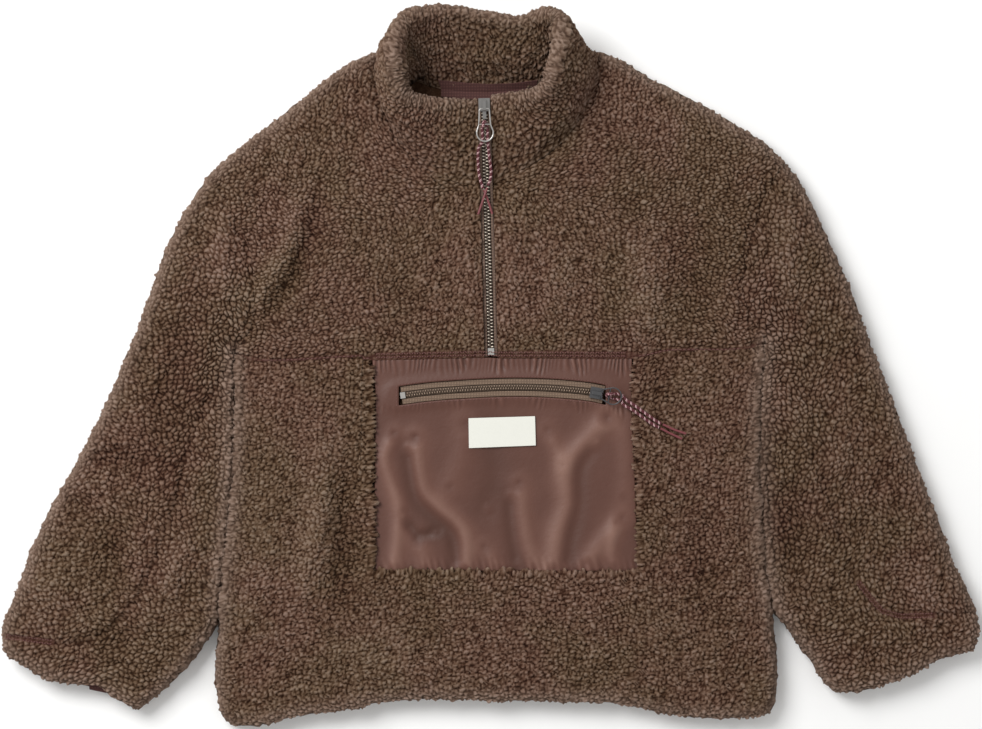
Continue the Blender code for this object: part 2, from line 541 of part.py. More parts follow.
def build_front_upper(side):
    """Half of the chest: cross seam below, armhole outside, shoulder above, neck and zip inside."""
    inset = SEAM_GAP / 2
    outer_left, inner_left, inner_right, outer_right = yoke_pieces(inset)
    if side == "left":
        bottom = np.vstack((outer_left, inner_left[1:]))
        arm = armhole("left", -inset)
        neck = along(beside(LINES["front_left"], inset), NECK_FRONT_STEPS)
        top = along(LINES["shoulder_left"], SHOULDER_STEPS)
    else:
        bottom = np.vstack((inner_right, outer_right[1:]))
        arm = armhole("right", inset)
        neck = along(beside(LINES["front_right"], -inset), NECK_FRONT_STEPS)
        top = along(LINES["shoulder_right"], 1 - np.array(SHOULDER_STEPS[::-1]))
    zipped = np.vstack((zip_edge(side, bottom[-1 if side == "left" else 0], neck[0]), neck[1:]))
    left, right = (arm, zipped) if side == "left" else (zipped, arm)
    if side == "left":
        left[0] = underarm("left", 1)
    else:
        right[0] = underarm("right", 1)
    bottom[0], bottom[-1] = left[0], right[0]
    top[0], top[-1] = left[-1], right[-1]
    plan = coons(bottom, top, left, right)
    high, low = front_heights(plan, BODY_EDGES, ("hem",))
    return wall("front_upper_" + side, plan, high, low, "sherpa")


def build_front_lower():
    """The belly panel in blocks, left of, under and right of the pocket, with its low place."""
    inset = SEAM_GAP / 2
    outer_left, inner_left, inner_right, outer_right = yoke_pieces(-inset)
    left_low, left_high = side_pieces("left")
    right_low, right_high = side_pieces("right")
    left_high[-1], right_high[-1] = underarm("left", -1), underarm("right", -1)
    outer_left[0], outer_right[-1] = left_high[-1], right_high[-1]
    pocket_left = along(LINES["pocket_left"][::-1], pocket_rows())
    pocket_right = along(LINES["pocket_right"][::-1], pocket_rows())
    middle_top = np.vstack((inner_left, inner_right))
    pocket_left[-1], pocket_right[-1] = middle_top[0], middle_top[-1]
    shares = arc_lengths(middle_top) / arc_lengths(middle_top)[-1]
    shares[1], shares[-2] = 0.0075, 0.9925
    middle_top = along(middle_top, shares)
    pocket_bottom = along(np.vstack((pocket_left[0], pocket_right[0])), shares)
    hem_line = LINES["hem"]
    hem_cuts = [np.interp(x, hem_line[:, 0], arc_lengths(hem_line)) / arc_lengths(hem_line)[-1]
                for x in (POCKET_LEFT[-1][0], POCKET_RIGHT[-1][0])]
    hem_left = along(hem_line, hem_cuts[0] * np.array(YOKE_SIDE_STEPS))
    hem_middle = along(hem_line, hem_cuts[0] + shares * (hem_cuts[1] - hem_cuts[0]))
    hem_right = along(hem_line, hem_cuts[1] + (1 - hem_cuts[1]) * np.array(YOKE_SIDE_RIGHT_STEPS))
    inner_low_left = along(np.vstack((hem_middle[0], pocket_left[0])), SIDE_LOW_STEPS)
    inner_low_right = along(np.vstack((hem_middle[-1], pocket_right[0])), SIDE_LOW_STEPS)
    across_left = along(np.vstack((left_low[-1], pocket_left[0])), YOKE_SIDE_STEPS)
    across_right = along(np.vstack((pocket_right[0], right_low[-1])), YOKE_SIDE_RIGHT_STEPS)
    blocks = (
        (coons(hem_left, across_left, left_low, inner_low_left),
         coons(hem_middle, pocket_bottom, inner_low_left, inner_low_right),
         coons(hem_right, across_right, inner_low_right, right_low)),
        (coons(across_left, outer_left, left_high, pocket_left),
         coons(pocket_bottom, middle_top, pocket_left, pocket_right),
         coons(across_right, outer_right, pocket_right, right_high)),
    )
    rows = [np.hstack((a, b[:, 1:], c[:, 1:])) for a, b, c in blocks]
    plan = np.vstack((rows[0], rows[1][1:]))
    high, low = front_heights(plan, BODY_EDGES, ("hem",))
    first_row = len(SIDE_LOW_STEPS)
    first_column = len(YOKE_SIDE_STEPS)
    last_column = first_column + len(shares) - 2
    pocket = np.s_[first_row:, first_column:last_column]
    high[pocket] = POCKET_LOW_TOP
    low[pocket] = np.minimum(low[pocket], POCKET_LOW_TOP - POCKET_LOW_WALL)
    return wall("front_lower", plan, high, low, "sherpa")


def pocket_rows():
    """Shares up the pocket's sides, with the low place's step just above its lower edge."""
    rows = np.array(SIDE_HIGH_STEPS, float)
    rows[1] = POCKET_STEP / (POCKET_LEFT[0][1] - POCKET_LEFT[-1][1])
    return rows


# Sleeves

def build_sleeve(side):
    """A flattened tube: an outer loop and an inner loop, a cloth's thickness apart, at each station."""
    sign = 1 if side == "left" else -1
    outer_name, inner_name = f"sleeve_{side}_outer", f"sleeve_{side}_inner"
    arm = armhole(side, sign * SEAM_GAP / 2)[::-1]
    outer = along(LINES[outer_name], SLEEVE_OUTER_STEPS)
    inner = along(LINES[inner_name], SLEEVE_INNER_STEPS)
    outer[0], inner[0] = arm[0], arm[-1]
    cuff = along(LINES["cuff_" + side], CUFF_STEPS)
    plan = sleeve_plan(arm, cuff, outer, inner)
    edges = (outer_name, inner_name)
    ends = ("cuff_" + side,)
    high, _ = front_heights(plan, edges, ends)
    _, low = back_heights(plan, edges, ends)
    middle = (MID_PLANE + (high + low) / 2) / 2
    high[:, (0, -1)] = low[:, (0, -1)] = middle[:, (0, -1)]
    outer_loops = [loop_of(plan[i], high[i], low[i]) for i in range(len(plan))]
    inner_loops = []
    for i, row in enumerate(plan):
        length = arc_lengths(row)[-1]
        edge = PILE_CLOTH / length
        inside = along(row, edge + np.array(ARMHOLE_STEPS) * (1 - 2 * edge))
        if i == 0:
            inside = beside(inside, -sign * RING_RECESS)
        top, under = inside_heights(inside, edges, ends)
        inner_loops.append(loop_of(inside, top, under))
    return hollow_tube("sleeve_" + side, outer_loops, inner_loops, "sherpa")


def sleeve_plan(arm, cuff, outer, inner):
    """Stations from armhole to cuff: chords between the edges, bent first like the one, then the other.

    The armhole's bend fades at once where the sleeve turns down at the underarm.
    """
    u = (arc_lengths(arm) / arc_lengths(arm)[-1])[None, :, None]
    v_outer, v_inner = np.array(SLEEVE_OUTER_STEPS), np.array(SLEEVE_INNER_STEPS)
    v = v_outer[:, None, None] * (1 - u) + v_inner[:, None, None] * u
    w = (arc_lengths(cuff) / arc_lengths(cuff)[-1])[None, :, None]
    across = u * (1 - v) + w * v
    chords = outer[:, None] * (1 - across) + inner[:, None] * across
    arm_bend = arm[None] - (arm[0] * (1 - u) + arm[-1] * u)
    cuff_bend = cuff[None] - (cuff[0] * (1 - w) + cuff[-1] * w)
    return chords + arm_bend * (1 - v) ** (1.6 + UNDERARM_FADE * u ** 6) + cuff_bend * v ** 2


def inside_heights(points, edges, ends):
    """The hollow between a sleeve's two layers, closing to the middle plane at its sides."""
    _, ceiling = front_heights(points, edges, ends)
    floor = np.full(len(points), BACK_TOP)
    middle = (ceiling + floor) / 2
    ceiling[(0, -1),] = floor[(0, -1),] = middle[(0, -1),]
    return ceiling, floor


def loop_of(row, high, low):
    """A loop: across on top, and back below between the same two end points."""
    above = [(*p, z) for p, z in zip(row, high)]
    below = [(*p, z) for p, z in zip(row[1:-1], low[1:-1])]
    return above + below[::-1]


def hollow_tube(name, outer, inner, finish):
    """A tube open at both ends: outer and inner loops, joined by a ring at each end."""
    size, count = len(outer[0]), len(outer)
    vertices = [p for loops in (outer, inner) for loop in loops for p in loop]
    faces = []
    for layer in (0, count * size):
        faces += [[layer + i * size + k, layer + i * size + (k + 1) % size,
                   layer + (i + 1) * size + (k + 1) % size, layer + (i + 1) * size + k]
                  for i in range(count - 1) for k in range(size)]
    for i in (0, count - 1):
        faces += [[i * size + k, i * size + (k + 1) % size,
                   count * size + i * size + (k + 1) % size, count * size + i * size + k]
                  for k in range(size)]
    return mesh_object(name, vertices, faces, finish)


# Collar

def collar_seams():
    """The neck seam's points with their top and under heights, from zip to zip."""
    inset = SEAM_GAP / 2
    left = along(beside(LINES["front_left"], -inset), NECK_FRONT_STEPS)
    back = along(beside(LINES["back"], inset), NECK_BACK_STEPS)
    right = along(beside(LINES["front_right"], inset), NECK_FRONT_STEPS)[::-1]
    places = np.vstack((left, back[1:-1], right))
    front_top, front_under = front_heights(places, BODY_EDGES, ("hem",))
    back_top, back_under = back_heights(places, BODY_EDGES, ("hem",))
    is_back = np.zeros(len(places), bool)
    is_back[len(left):len(left) + len(back) - 2] = True
    outer_z = np.where(is_back, back_under, front_top)
    heel_z = np.where(is_back, back_top + PART_GAP, front_under)
    for tip in (len(left) - 1, len(left) + len(back) - 2):
        outer_z[tip], heel_z[tip] = MID_PLANE, MID_PLANE
    return places, outer_z, heel_z, is_back


def collar_shares():
    """Each neck seam point's place along the rib table, and the ribs' own places."""
    starts = {"front_left": 0.0, "back": 1.0, "front_right": 3.0}
    signs = {"front_left": 1, "back": 1, "front_right": -1}
    ribs = [starts[row[0]] + signs[row[0]] * row[1] for row in COLLAR_RIBS]
    points = np.concatenate((NECK_FRONT_STEPS, 1 + np.array(NECK_BACK_STEPS[1:-1]),
                             3 - np.array(NECK_FRONT_STEPS[::-1])))
    return points, np.array(ribs)


def collar_columns():
    """Rim, bow, foot and wall at every neck seam point, smoothly between the rows of the rib table."""
    points, ribs = collar_shares()
    table = np.array([row[2:] for row in COLLAR_RIBS])
    fine_table = smooth(table)
    fine_place = smooth(ribs[:, None])[:, 0]
    return np.stack([np.interp(points, fine_place, fine_table[:, k]) for k in range(table.shape[1])], axis=1)


def unit(vectors):
    return vectors / np.linalg.norm(vectors, axis=-1, keepdims=True)


def collar_surfaces():
    """The collar's middle, outward normals, outer and inner points, rib by level, its heel and wall."""
    places, outer_z, heel_z, _ = collar_seams()
    columns = collar_columns()
    rim, bow, foot, wall_thick = columns[:, :3], columns[:, 3], columns[:, 4], columns[:, 5, None, None]
    inward = unit(np.array(COLLAR_CENTRE) - places)
    outer_foot = np.column_stack((places, outer_z))
    heel = np.column_stack((places, heel_z))
    inner_foot_z = np.maximum(heel_z, BACK_TOP + PART_GAP) + 0.45
    inner_foot = np.column_stack((places + inward * foot[:, None], inner_foot_z))
    near_foot = np.column_stack((places + inward * np.minimum(foot, NEAR_FOOT)[:, None], inner_foot_z))
    start = (outer_foot + near_foot) / 2
    levels = np.array(COLLAR_LEVELS)[None, :, None]
    ruled = start[:, None] * (1 - levels) + rim[:, None] * levels
    turns, _ = collar_shares()
    normal = outward_normals(ruled, turns)
    middle = ruled + normal * (bow[:, None, None] * 4 * levels * (1 - levels))
    normal = outward_normals(middle, turns)
    normal[(0, -1), :, 0] = 0
    normal = unit(normal)
    thick = COLLAR_FOOT + (wall_thick - COLLAR_FOOT) * np.clip(levels / WALL_GROWTH, 0, 1)
    outer = middle + normal * thick / 2
    inner = middle - normal * thick / 2
    inner = inner + (inner_foot - near_foot)[:, None] * (1 - levels) ** FOOT_FLARE
    outer[:, 0], inner[:, 0] = outer_foot, inner_foot
    return middle, normal, outer, inner, heel, wall_thick[:, 0]


def outward_normals(surface, turns):
    """Unit normals away from the neck opening, square to each rib and to the direction round it.

    Round the back that direction is the rim's, since the seam doubles back at its two corners.
    """
    by_rim = np.clip((np.minimum(turns, 3 - turns) - RIM_FROM) / RIM_BLEND, 0, 1)[:, None, None]
    around = (unit(np.gradient(surface, axis=0)) * (1 - by_rim)
              + unit(np.gradient(surface[:, -1:], axis=0)) * by_rim)
    upward = np.gradient(surface, axis=1)
    return unit(np.cross(upward, around))


def build_collar():
    """The stand collar: up its outer side, over the rounded rim and down its inner side."""
    middle, normal, outer, inner, heel, wall_thick = collar_surfaces()
    upward = unit(middle[:, -1] - middle[:, -2])
    loops = []
    for i in range(len(middle)):
        rim = [middle[i, -1] + wall_thick[i] / 2 * (math.cos(math.radians(turn)) * normal[i, -1]
                                                    + math.sin(math.radians(turn)) * upward[i])
               for turn in RIM_TURNS]
        loops.append([*outer[i], *rim, *inner[i, ::-1], heel[i]])
    return tube_of_loops("collar", loops, "sherpa")


def build_neck_facing():
    """The facing over the back neck seam: from the back panel up onto the collar's inner side."""
    _, normal, _, inner, _, _ = collar_surfaces()
    points, _ = collar_shares()
    chosen = np.flatnonzero((points >= 1 + NECK_FACING_RIBS[0]) & (points <= 1 + NECK_FACING_RIBS[1]))
    loops = []
    for i in chosen:
        low = np.array((inner[i, 0, 0], inner[i, 0, 1] - 6.0, BACK_TOP + PART_GAP))
        foot = inner[i, 0] + (0, -0.6, PART_GAP + 0.1)
        high = inner[i, 1] - normal[i, 1] * (PART_GAP + 0.25)
        under = [low, foot, high]
        lifts = [(0, 0, FACING), (0, 0, FACING), -normal[i, 1] * FACING]
        loops.append(under + [point + lift for point, lift in zip(under, lifts)][::-1])
    return tube_of_loops("neck_facing", loops, "facing")


def build_cuff_facing():
    """A corner of facing that shows between the two layers of the left cuff."""
    plan = np.array(CUFF_FACING)
    low = [(*p, CUFF_FACING_LOW) for p in plan]
    high = [(*p, CUFF_FACING_LOW + FACING) for p in plan]
    return tube_of_loops("cuff_facing", [low, high], "facing")


# Pocket

def satin_top(points):
    """The satin's top: nearly level, with its soft folds, and a lip along the slot for the zip."""
    away = np.maximum(distance(points, LINES["pocket_zip"]) - POCKET_SLOT_HALF, 0)
    lip = SLOT_LIP * np.exp(-(away / SLOT_LIP_WIDTH) ** 2)
    return np.maximum(SATIN_TOP + fold_relief(points, SATIN_FOLDS), SATIN_LEAST_TOP) + lip


def build_pocket_panel():
    """The satin in a frame of blocks round the slot for its zip."""
    left = beside(LINES["pocket_left"][::-1], -SATIN_MARGIN)
    right = beside(LINES["pocket_right"][::-1], SATIN_MARGIN)
    slot_low = beside(LINES["pocket_zip"], -POCKET_SLOT_HALF)
    slot_high = beside(LINES["pocket_zip"], POCKET_SLOT_HALF)
    across = np.concatenate((np.linspace(0, 1, 4)[:-1], np.linspace(1, 2, 13)[:-1], np.linspace(2, 3, 4)))
    up = np.concatenate((np.linspace(0, 1, 11)[:-1], (1.0,), np.linspace(2, 3, 4)))
    bottom_y = np.linspace(left[0, 1], right[0, 1], len(across)) + SATIN_MARGIN
    plan = np.zeros((len(up), len(across), 2))
    for j, share in enumerate(across):
        column = satin_column(share, up, left, right, slot_low, slot_high, bottom_y[j])
        plan[:, j] = column
    top = satin_top(plan)
    slot_row, slot_columns = 10, range(3, 15)
    return wall("pocket_panel", plan, top, top - SATIN, "satin",
                lambda i, j: i == slot_row and j in slot_columns)


def satin_column(share, up, left, right, slot_low, slot_high, bottom_y):
    """One column of satin points: below the slot, at its two edges and above it."""
    at_slot = np.interp(share, (0, 1, 2, 3), (left[0, 0] + 0.6, slot_low[0, 0], slot_low[-1, 0], right[-1, 0]))
    x_low = np.interp(share, (0, 1, 2, 3), (left[0, 0], slot_low[0, 0], slot_low[-1, 0], right[0, 0]))
    x_high = np.interp(share, (0, 1, 2, 3), (left[-1, 0], slot_low[0, 0], slot_low[-1, 0], right[-1, 0]))
    slot_y = (np.interp(at_slot, slot_low[:, 0], slot_low[:, 1]),
              np.interp(at_slot, slot_high[:, 0], slot_high[:, 1]))
    yoke = LINES["yoke"]
    top_y = np.interp(x_high, yoke[:, 0], yoke[:, 1]) - SEAM_GAP - PART_GAP - 0.4
    y = np.interp(up, (0, 1, 2, 3), (bottom_y, slot_y[0], slot_y[1], top_y))
    x = np.interp(y, (bottom_y, slot_y[0], slot_y[1], top_y), (x_low, at_slot, at_slot, x_high))
    return np.stack((x, y), axis=1)


def build_label():
    """The bare label, a thin plate over the satin's highest place below it."""
    corners = np.array(LABEL)
    rows = [along(np.vstack((corners[0] * (1 - v) + corners[3] * v, corners[1] * (1 - v) + corners[2] * v)),
                  np.linspace(0, 1, 6)) for v in np.linspace(0, 1, 4)]
    plan = np.array(rows)
    low = satin_top(plan) + LABEL_LIFT + 0.3
    return wall("label", plan, low + LABEL_THICK, low, "label")


# Zips

def neck_zip_path():
    heights = np.array(NECK_ZIP_HEIGHTS)
    y = np.linspace(NECK_ZIP_LOW[1] + 0.6, NECK_ZIP_HIGH[1] - 1.5, 24)
    return np.column_stack((neck_zip_x(y), y, np.interp(y, heights[:, 0], heights[:, 1])))


def pocket_zip_path():
    line = along(LINES["pocket_zip"], np.linspace(0.008, 0.992, 19))
    return np.column_stack((line, np.full(len(line), POCKET_ZIP_HEIGHT)))


def build_neck_zip():
    """Two tapes, the closed teeth between them, and the stop at the foot."""
    path = neck_zip_path()
    tape = SLOT_HALF - PART_GAP, TEETH_HALF + PART_GAP
    strip("neck_zip_tape_left", path, (tape[1], tape[0]), -TAPE_HALF_THICK, TAPE_HALF_THICK, "tape")
    strip("neck_zip_tape_right", path, (-tape[0], -tape[1]), -TAPE_HALF_THICK, TAPE_HALF_THICK, "tape")
    chain = along(path, np.linspace(0.035, NECK_ZIP_TOP_STOP, 22))
    strip("neck_zip_chain", chain, (-TEETH_HALF, TEETH_HALF), -TEETH_HIGH, TEETH_HIGH, "teeth")
    stop = along(path, np.linspace(0.006, 0.0325, 2))
    strip("neck_zip_stop", stop, (-TEETH_HALF, TEETH_HALF), -TEETH_HIGH - 0.2, TEETH_HIGH + 0.4, "nickel")


def build_pocket_zip():
    """The pocket's tapes, teeth and left stop, along its arch."""
    path = pocket_zip_path()
    tapes = along(path, np.linspace(0.012, 0.988, 19))
    tape = POCKET_SLOT_HALF - 1.4 * PART_GAP, TEETH_HALF + 1.3 * PART_GAP
    strip("pocket_zip_tape_upper", tapes, (tape[1], tape[0]), -TAPE_HALF_THICK, TAPE_HALF_THICK, "tape")
    strip("pocket_zip_tape_lower", tapes, (-tape[0], -tape[1]), -TAPE_HALF_THICK, TAPE_HALF_THICK, "tape")
    chain = along(path, np.linspace(0.035, POCKET_CHAIN_END, 19))
    strip("pocket_zip_chain", chain, (-TEETH_HALF, TEETH_HALF), -TEETH_HIGH, TEETH_HIGH, "teeth")
    stop = along(path, np.linspace(0.006, 0.03, 2))
    strip("pocket_zip_stop", stop, (-TEETH_HALF, TEETH_HALF), -TEETH_HIGH, TEETH_HIGH + 0.4, "gunmetal")


class Place:
    """A slider's own axes: forward to the pull's free end, out from the zip, across to the side."""

    def __init__(self, path, share, towards):
        line = smooth(path, 4)
        self.origin = along(line, (share,))[0]
        ahead, behind = along(line, (min(share + 0.01, 1), share - 0.03))
        self.forward = unit(ahead - behind) * towards
        level = np.array((self.forward[1], -self.forward[0], 0.0))
        self.across = unit(level)
        self.out = np.cross(self.across, self.forward)

    def at(self, forward, across, out):
        return self.origin + forward * self.forward + across * self.across + out * self.out


def neck_place():
    path = neck_zip_path()
    lengths = arc_lengths(path) / arc_lengths(path)[-1]
    return Place(path, float(np.interp(NECK_SLIDER_AT, path[:, 1], lengths)), -1)


def pocket_place():
    path = pocket_zip_path()
    lengths = arc_lengths(path) / arc_lengths(path)[-1]
    return Place(path, float(np.interp(POCKET_SLIDER_AT, path[:, 0], lengths)), 1)


def extrude(name, place, profile, half_width, finish):
    """A forward-by-out profile carried across, from one side to the other."""
    loops = [[place.at(forward, across, out) for forward, out in profile]
             for across in (-half_width, half_width)]
    return tube_of_loops(name, loops, finish)


def joined(base, others):
    """The base with the others united into it, which then stay behind as hidden helpers."""
    for other in others:
        union = base.modifiers.new(other.name, "BOOLEAN")
        union.operation = "UNION"
        union.object = other
        other.hide_render = True
        other.display_type = "WIRE"
    return base


def build_slider(name, place, mouth, nose, finish):
    """Two plates joined by a post, with a bail over the top that holds the pull."""
    long, high, channel = SLIDER_HALF_LONG, SLIDER_HALF_HIGH, CHANNEL_HALF_HIGH
    upper = extrude(name, place, box_profile(-long, long, channel, high), SLIDER_HALF_WIDE, finish)
    lower = extrude(name + "_lower", place, box_profile(-long, long, -high, -channel),
                    SLIDER_HALF_WIDE, finish)
    ends = sorted((-mouth * (long - 0.3), -mouth * (long - SLIDER_POST)))
    post = extrude(name + "_post", place, box_profile(*ends, -high + 0.4, high - 0.4),
                   SLIDER_POST_HALF, finish)
    bail = [(-3.6, high - 0.5), (-3.6, BAIL_TOP - 0.6), (-2.8, BAIL_TOP), (4.0, BAIL_TOP),
            (4.6, BAIL_TOP - 0.7)]
    if nose:
        bail += [(4.6, 3.9), (nose, 3.9), (nose, 2.9), (4.4, 2.9)]
    bail += [(4.4, high - 0.5), (3.7, high - 0.5), (3.7, BAIL_UNDER), (-2.7, BAIL_UNDER),
             (-2.7, high - 0.5)]
    loop = extrude(name + "_bail", place, bail, BAIL_HALF_WIDE, finish)
    return joined(upper, [lower, post, loop])


def box_profile(near, far, low, high):
    return [(near, low), (far, low), (far, high), (near, high)]


def pull_ring(size):
    """The pull's wire as a closed loop of (forward, across): a straight hinge, two arms and a round bow."""
    centre = size["end"] - PULL_BOW_RADIUS
    turns = np.radians(np.linspace(-118, 118, 13))
    bow = [(centre + PULL_BOW_RADIUS * math.cos(t), PULL_BOW_RADIUS * math.sin(t)) for t in turns]
    near = centre - PULL_BOW_RADIUS * 0.95
    arm = [(near, 4.3), (HINGE_FORWARD + 1.2, 3.7), (HINGE_FORWARD + 0.35, PULL_HINGE_HALF),
           (HINGE_FORWARD, PULL_HINGE_HALF - 0.5)]
    return arm_loop(bow, arm)


def arm_loop(bow, arm):
    up_side = [(f, a) for f, a in arm]
    down_side = [(f, -a) for f, a in reversed(arm)]
    return bow + up_side + down_side


def wire_loop(name, centres, radius, finish, sides=6):
    """A round wire along a closed path of points in space."""
    p = np.array(centres)
    tangent = unit(np.roll(p, -1, axis=0) - np.roll(p, 1, axis=0))
    flat = unit(np.cross(p[3] - p[0], p[6] - p[0]))
    side = unit(np.cross(tangent, flat))
    angles = np.arange(sides) * 2 * math.pi / sides + math.pi / sides
    rings = [p + radius * (math.cos(t) * side + math.sin(t) * flat) for t in angles]
    vertices = [tuple(rings[k][i]) for i in range(len(p)) for k in range(sides)]
    count = len(p)
    faces = [[i * sides + k, i * sides + (k + 1) % sides,
              (i + 1) % count * sides + (k + 1) % sides, (i + 1) % count * sides + k]
             for i in range(count) for k in range(sides)]
    return mesh_object(name, vertices, faces, finish)


def build_pull(name, place, size, finish):
    """The keyhole ring with its hinge bar under the bail, and the bar that the cord goes round."""
    def out_at(forward):
        return np.interp(forward, (HINGE_FORWARD, size["end"]), (HINGE_OUT, size["end_out"]))

    ring = wire_loop(name, [place.at(f, a, out_at(f)) for f, a in pull_ring(size)], WIRE, finish)
    reach = pull_half_width(size, size["bar"])
    turns = np.arange(6) * math.pi / 3
    loops = [[place.at(size["bar"] + WIRE * math.cos(t), across, out_at(size["bar"]) + WIRE * math.sin(t))
              for t in turns] for across in (-reach, reach)]
    bar = tube_of_loops(name + "_bar", loops, finish)
    return joined(ring, [bar])


def pull_half_width(size, forward):
    """Half the ring's width at a place along it."""
    loop = sorted((f, a) for f, a in pull_ring(size) if a > 0)
    return float(np.interp(forward, [f for f, _ in loop], [a for _, a in loop]))


# Cords

def cord_object(name, points, thickness, finish, dense=3):
    """A round cord: a curve through its route's points, bevelled, with closed ends."""
    line = smooth(points, 8)
    count = max(4, int(arc_lengths(line)[-1] / (thickness * dense / 2)) + 1)
    line = (along(line, np.linspace(0, 1, count)) + (*LAY_SHIFT, 0)) * MM
    curve = bpy.data.curves.new(name, "CURVE")
    curve.dimensions = "3D"
    curve.bevel_depth = thickness / 2 * MM
    curve.bevel_resolution = 2
    curve.use_fill_caps = True
    spline = curve.splines.new("POLY")
    spline.points.add(len(line) - 1)
    for point, place in zip(spline.points, line):
        point.co = (*place, 1)
    curve.materials.append(material(finish))
    made = bpy.data.objects.new(name, curve)
    bpy.context.scene.collection.objects.link(made)
    return made


def bight_points(place, size, flip):
    """The cord's bend round the pull's bar: in front, round its near side, and behind."""
    out = float(np.interp(size["bar"], (HINGE_FORWARD, size["end"]), (HINGE_OUT, size["end_out"])))
    rows = [(2.0, -BIGHT_SPREAD, 1.4), (1.1, -0.85 * BIGHT_SPREAD, 1.8)]
    rows += [(-BIGHT_RADIUS * math.sin(t), -BIGHT_SPREAD * 0.7 * math.cos(t), BIGHT_RADIUS * math.cos(t))
             for t in np.radians((12, 38, 64, 90, 116, 142, 168))]
    rows += [(1.2, 0.85 * BIGHT_SPREAD, -BIGHT_RADIUS), (2.4, BIGHT_SPREAD, -BIGHT_RADIUS)]
    return [place.at(size["bar"] + f, flip * a, out + n) for f, a, n in rows]


def lead_in(bight_end, bight_next, route):
    """A strand's whole route, starting just clear of the bight it comes from."""
    ahead = unit(np.array(bight_end) - np.array(bight_next))
    start = [np.array(bight_end) + ahead * reach for reach in (0.6, 2.0)]
    return start + [np.array(point) for point in route]


def build_cords(kind, place, size, routes, tips, flip):
    """The bight, its two strands, which leave behind the ring's bow, and their sealed tips."""
    bend = bight_points(place, size, flip)
    cord_object(kind + "_bight", bend, CORD, "cord", dense=1.4)
    ends = ((bend[0], bend[1]), (bend[-1], bend[-2]))
    for (end, after), side, (name, route), (tip_name, tip) in zip(ends, (-1, 1), routes, tips):
        behind = place.at(size["end"], flip * side * BOW_SPREAD, size["end_out"] - BOW_BEHIND)
        cord_object(name, lead_in(end, after, (behind, *route)), CORD, "cord")
        cord_object(tip_name, tip, TIP, "tip")


def clear_scene():
    for old in list(bpy.data.objects):
        bpy.data.objects.remove(old, do_unlink=True)


def main():
    clear_scene()
    build_back()
    build_front_lower()
    for side in ("left", "right"):
        build_front_upper(side)
        build_sleeve(side)
    build_collar()
    build_neck_facing()
    build_cuff_facing()
    build_pocket_panel()
    build_label()
    build_neck_zip()
    build_pocket_zip()
    neck, pocket = neck_place(), pocket_place()
    build_slider("neck_zip_slider", neck, 1, NECK_NOSE, "nickel")
    build_slider("pocket_zip_slider", pocket, -1, 0, "gunmetal")
    build_pull("neck_zip_pull", neck, NECK_PULL, "nickel")
    build_pull("pocket_zip_pull", pocket, POCKET_PULL, "gunmetal")
    build_cords("neck", neck, NECK_PULL,
                (("neck_cord_left", NECK_CORD_LEFT), ("neck_cord_right", NECK_CORD_RIGHT)),
                (("neck_tip_left", NECK_TIP_LEFT), ("neck_tip_right", NECK_TIP_RIGHT)), -1)
    build_cords("pocket", pocket, POCKET_PULL,
                (("pocket_cord_upper", POCKET_CORD_UPPER), ("pocket_cord_lower", POCKET_CORD_LOWER)),
                (("pocket_tip_upper", POCKET_TIP_UPPER), ("pocket_tip_lower", POCKET_TIP_LOWER)), 1)


main()
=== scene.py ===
"""The looks of a child's half-zip sherpa jacket laid flat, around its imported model.

Tables are in millimetres in the jacket's own lay: x to the right, y towards the collar, z up from
the surface below it. Every cloth is a closed shell worked out on a fine grid from the outlines and
folds in the tables, and the pile's curls are raised on it along the surface's own directions.
"""

import json
import math

import bpy
import numpy as np
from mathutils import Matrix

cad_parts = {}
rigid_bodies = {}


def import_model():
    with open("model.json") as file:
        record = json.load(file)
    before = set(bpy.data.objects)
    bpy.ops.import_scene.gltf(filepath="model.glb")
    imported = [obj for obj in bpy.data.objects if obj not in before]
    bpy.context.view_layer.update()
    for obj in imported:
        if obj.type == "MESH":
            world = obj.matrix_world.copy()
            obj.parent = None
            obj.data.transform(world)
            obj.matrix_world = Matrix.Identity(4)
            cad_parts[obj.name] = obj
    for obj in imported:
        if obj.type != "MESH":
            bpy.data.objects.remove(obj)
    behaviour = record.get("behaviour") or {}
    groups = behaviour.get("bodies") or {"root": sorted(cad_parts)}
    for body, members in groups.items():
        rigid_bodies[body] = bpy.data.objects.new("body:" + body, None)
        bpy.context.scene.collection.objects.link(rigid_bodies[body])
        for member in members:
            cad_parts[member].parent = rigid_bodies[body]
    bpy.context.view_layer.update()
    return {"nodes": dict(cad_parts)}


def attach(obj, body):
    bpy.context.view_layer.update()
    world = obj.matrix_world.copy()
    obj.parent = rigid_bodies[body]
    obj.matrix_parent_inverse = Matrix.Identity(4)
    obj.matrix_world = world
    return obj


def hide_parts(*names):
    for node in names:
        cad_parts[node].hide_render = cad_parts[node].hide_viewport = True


MM = 0.001
LAY_SHIFT = (0.0, 2.45)

# The photograph's frame: its width on the plane of the zips, and how high the camera stood
VIEW_WIDTH = 736.5
VIEW_PLANE = 9.0
CAMERA_HEIGHT = 2046.0
VIEW_CENTRE = (0.375, 0.0)
SENSOR = 36.0
SURROUND = 0.64
LAMP_PLACE = (-1.1, 1.0, 1.65)
LAMP_SIZE = 1.2
LAMP_WATTS = 47.0
FLOOR_REACH = 3.0
FLOOR_LEVEL = -0.0004

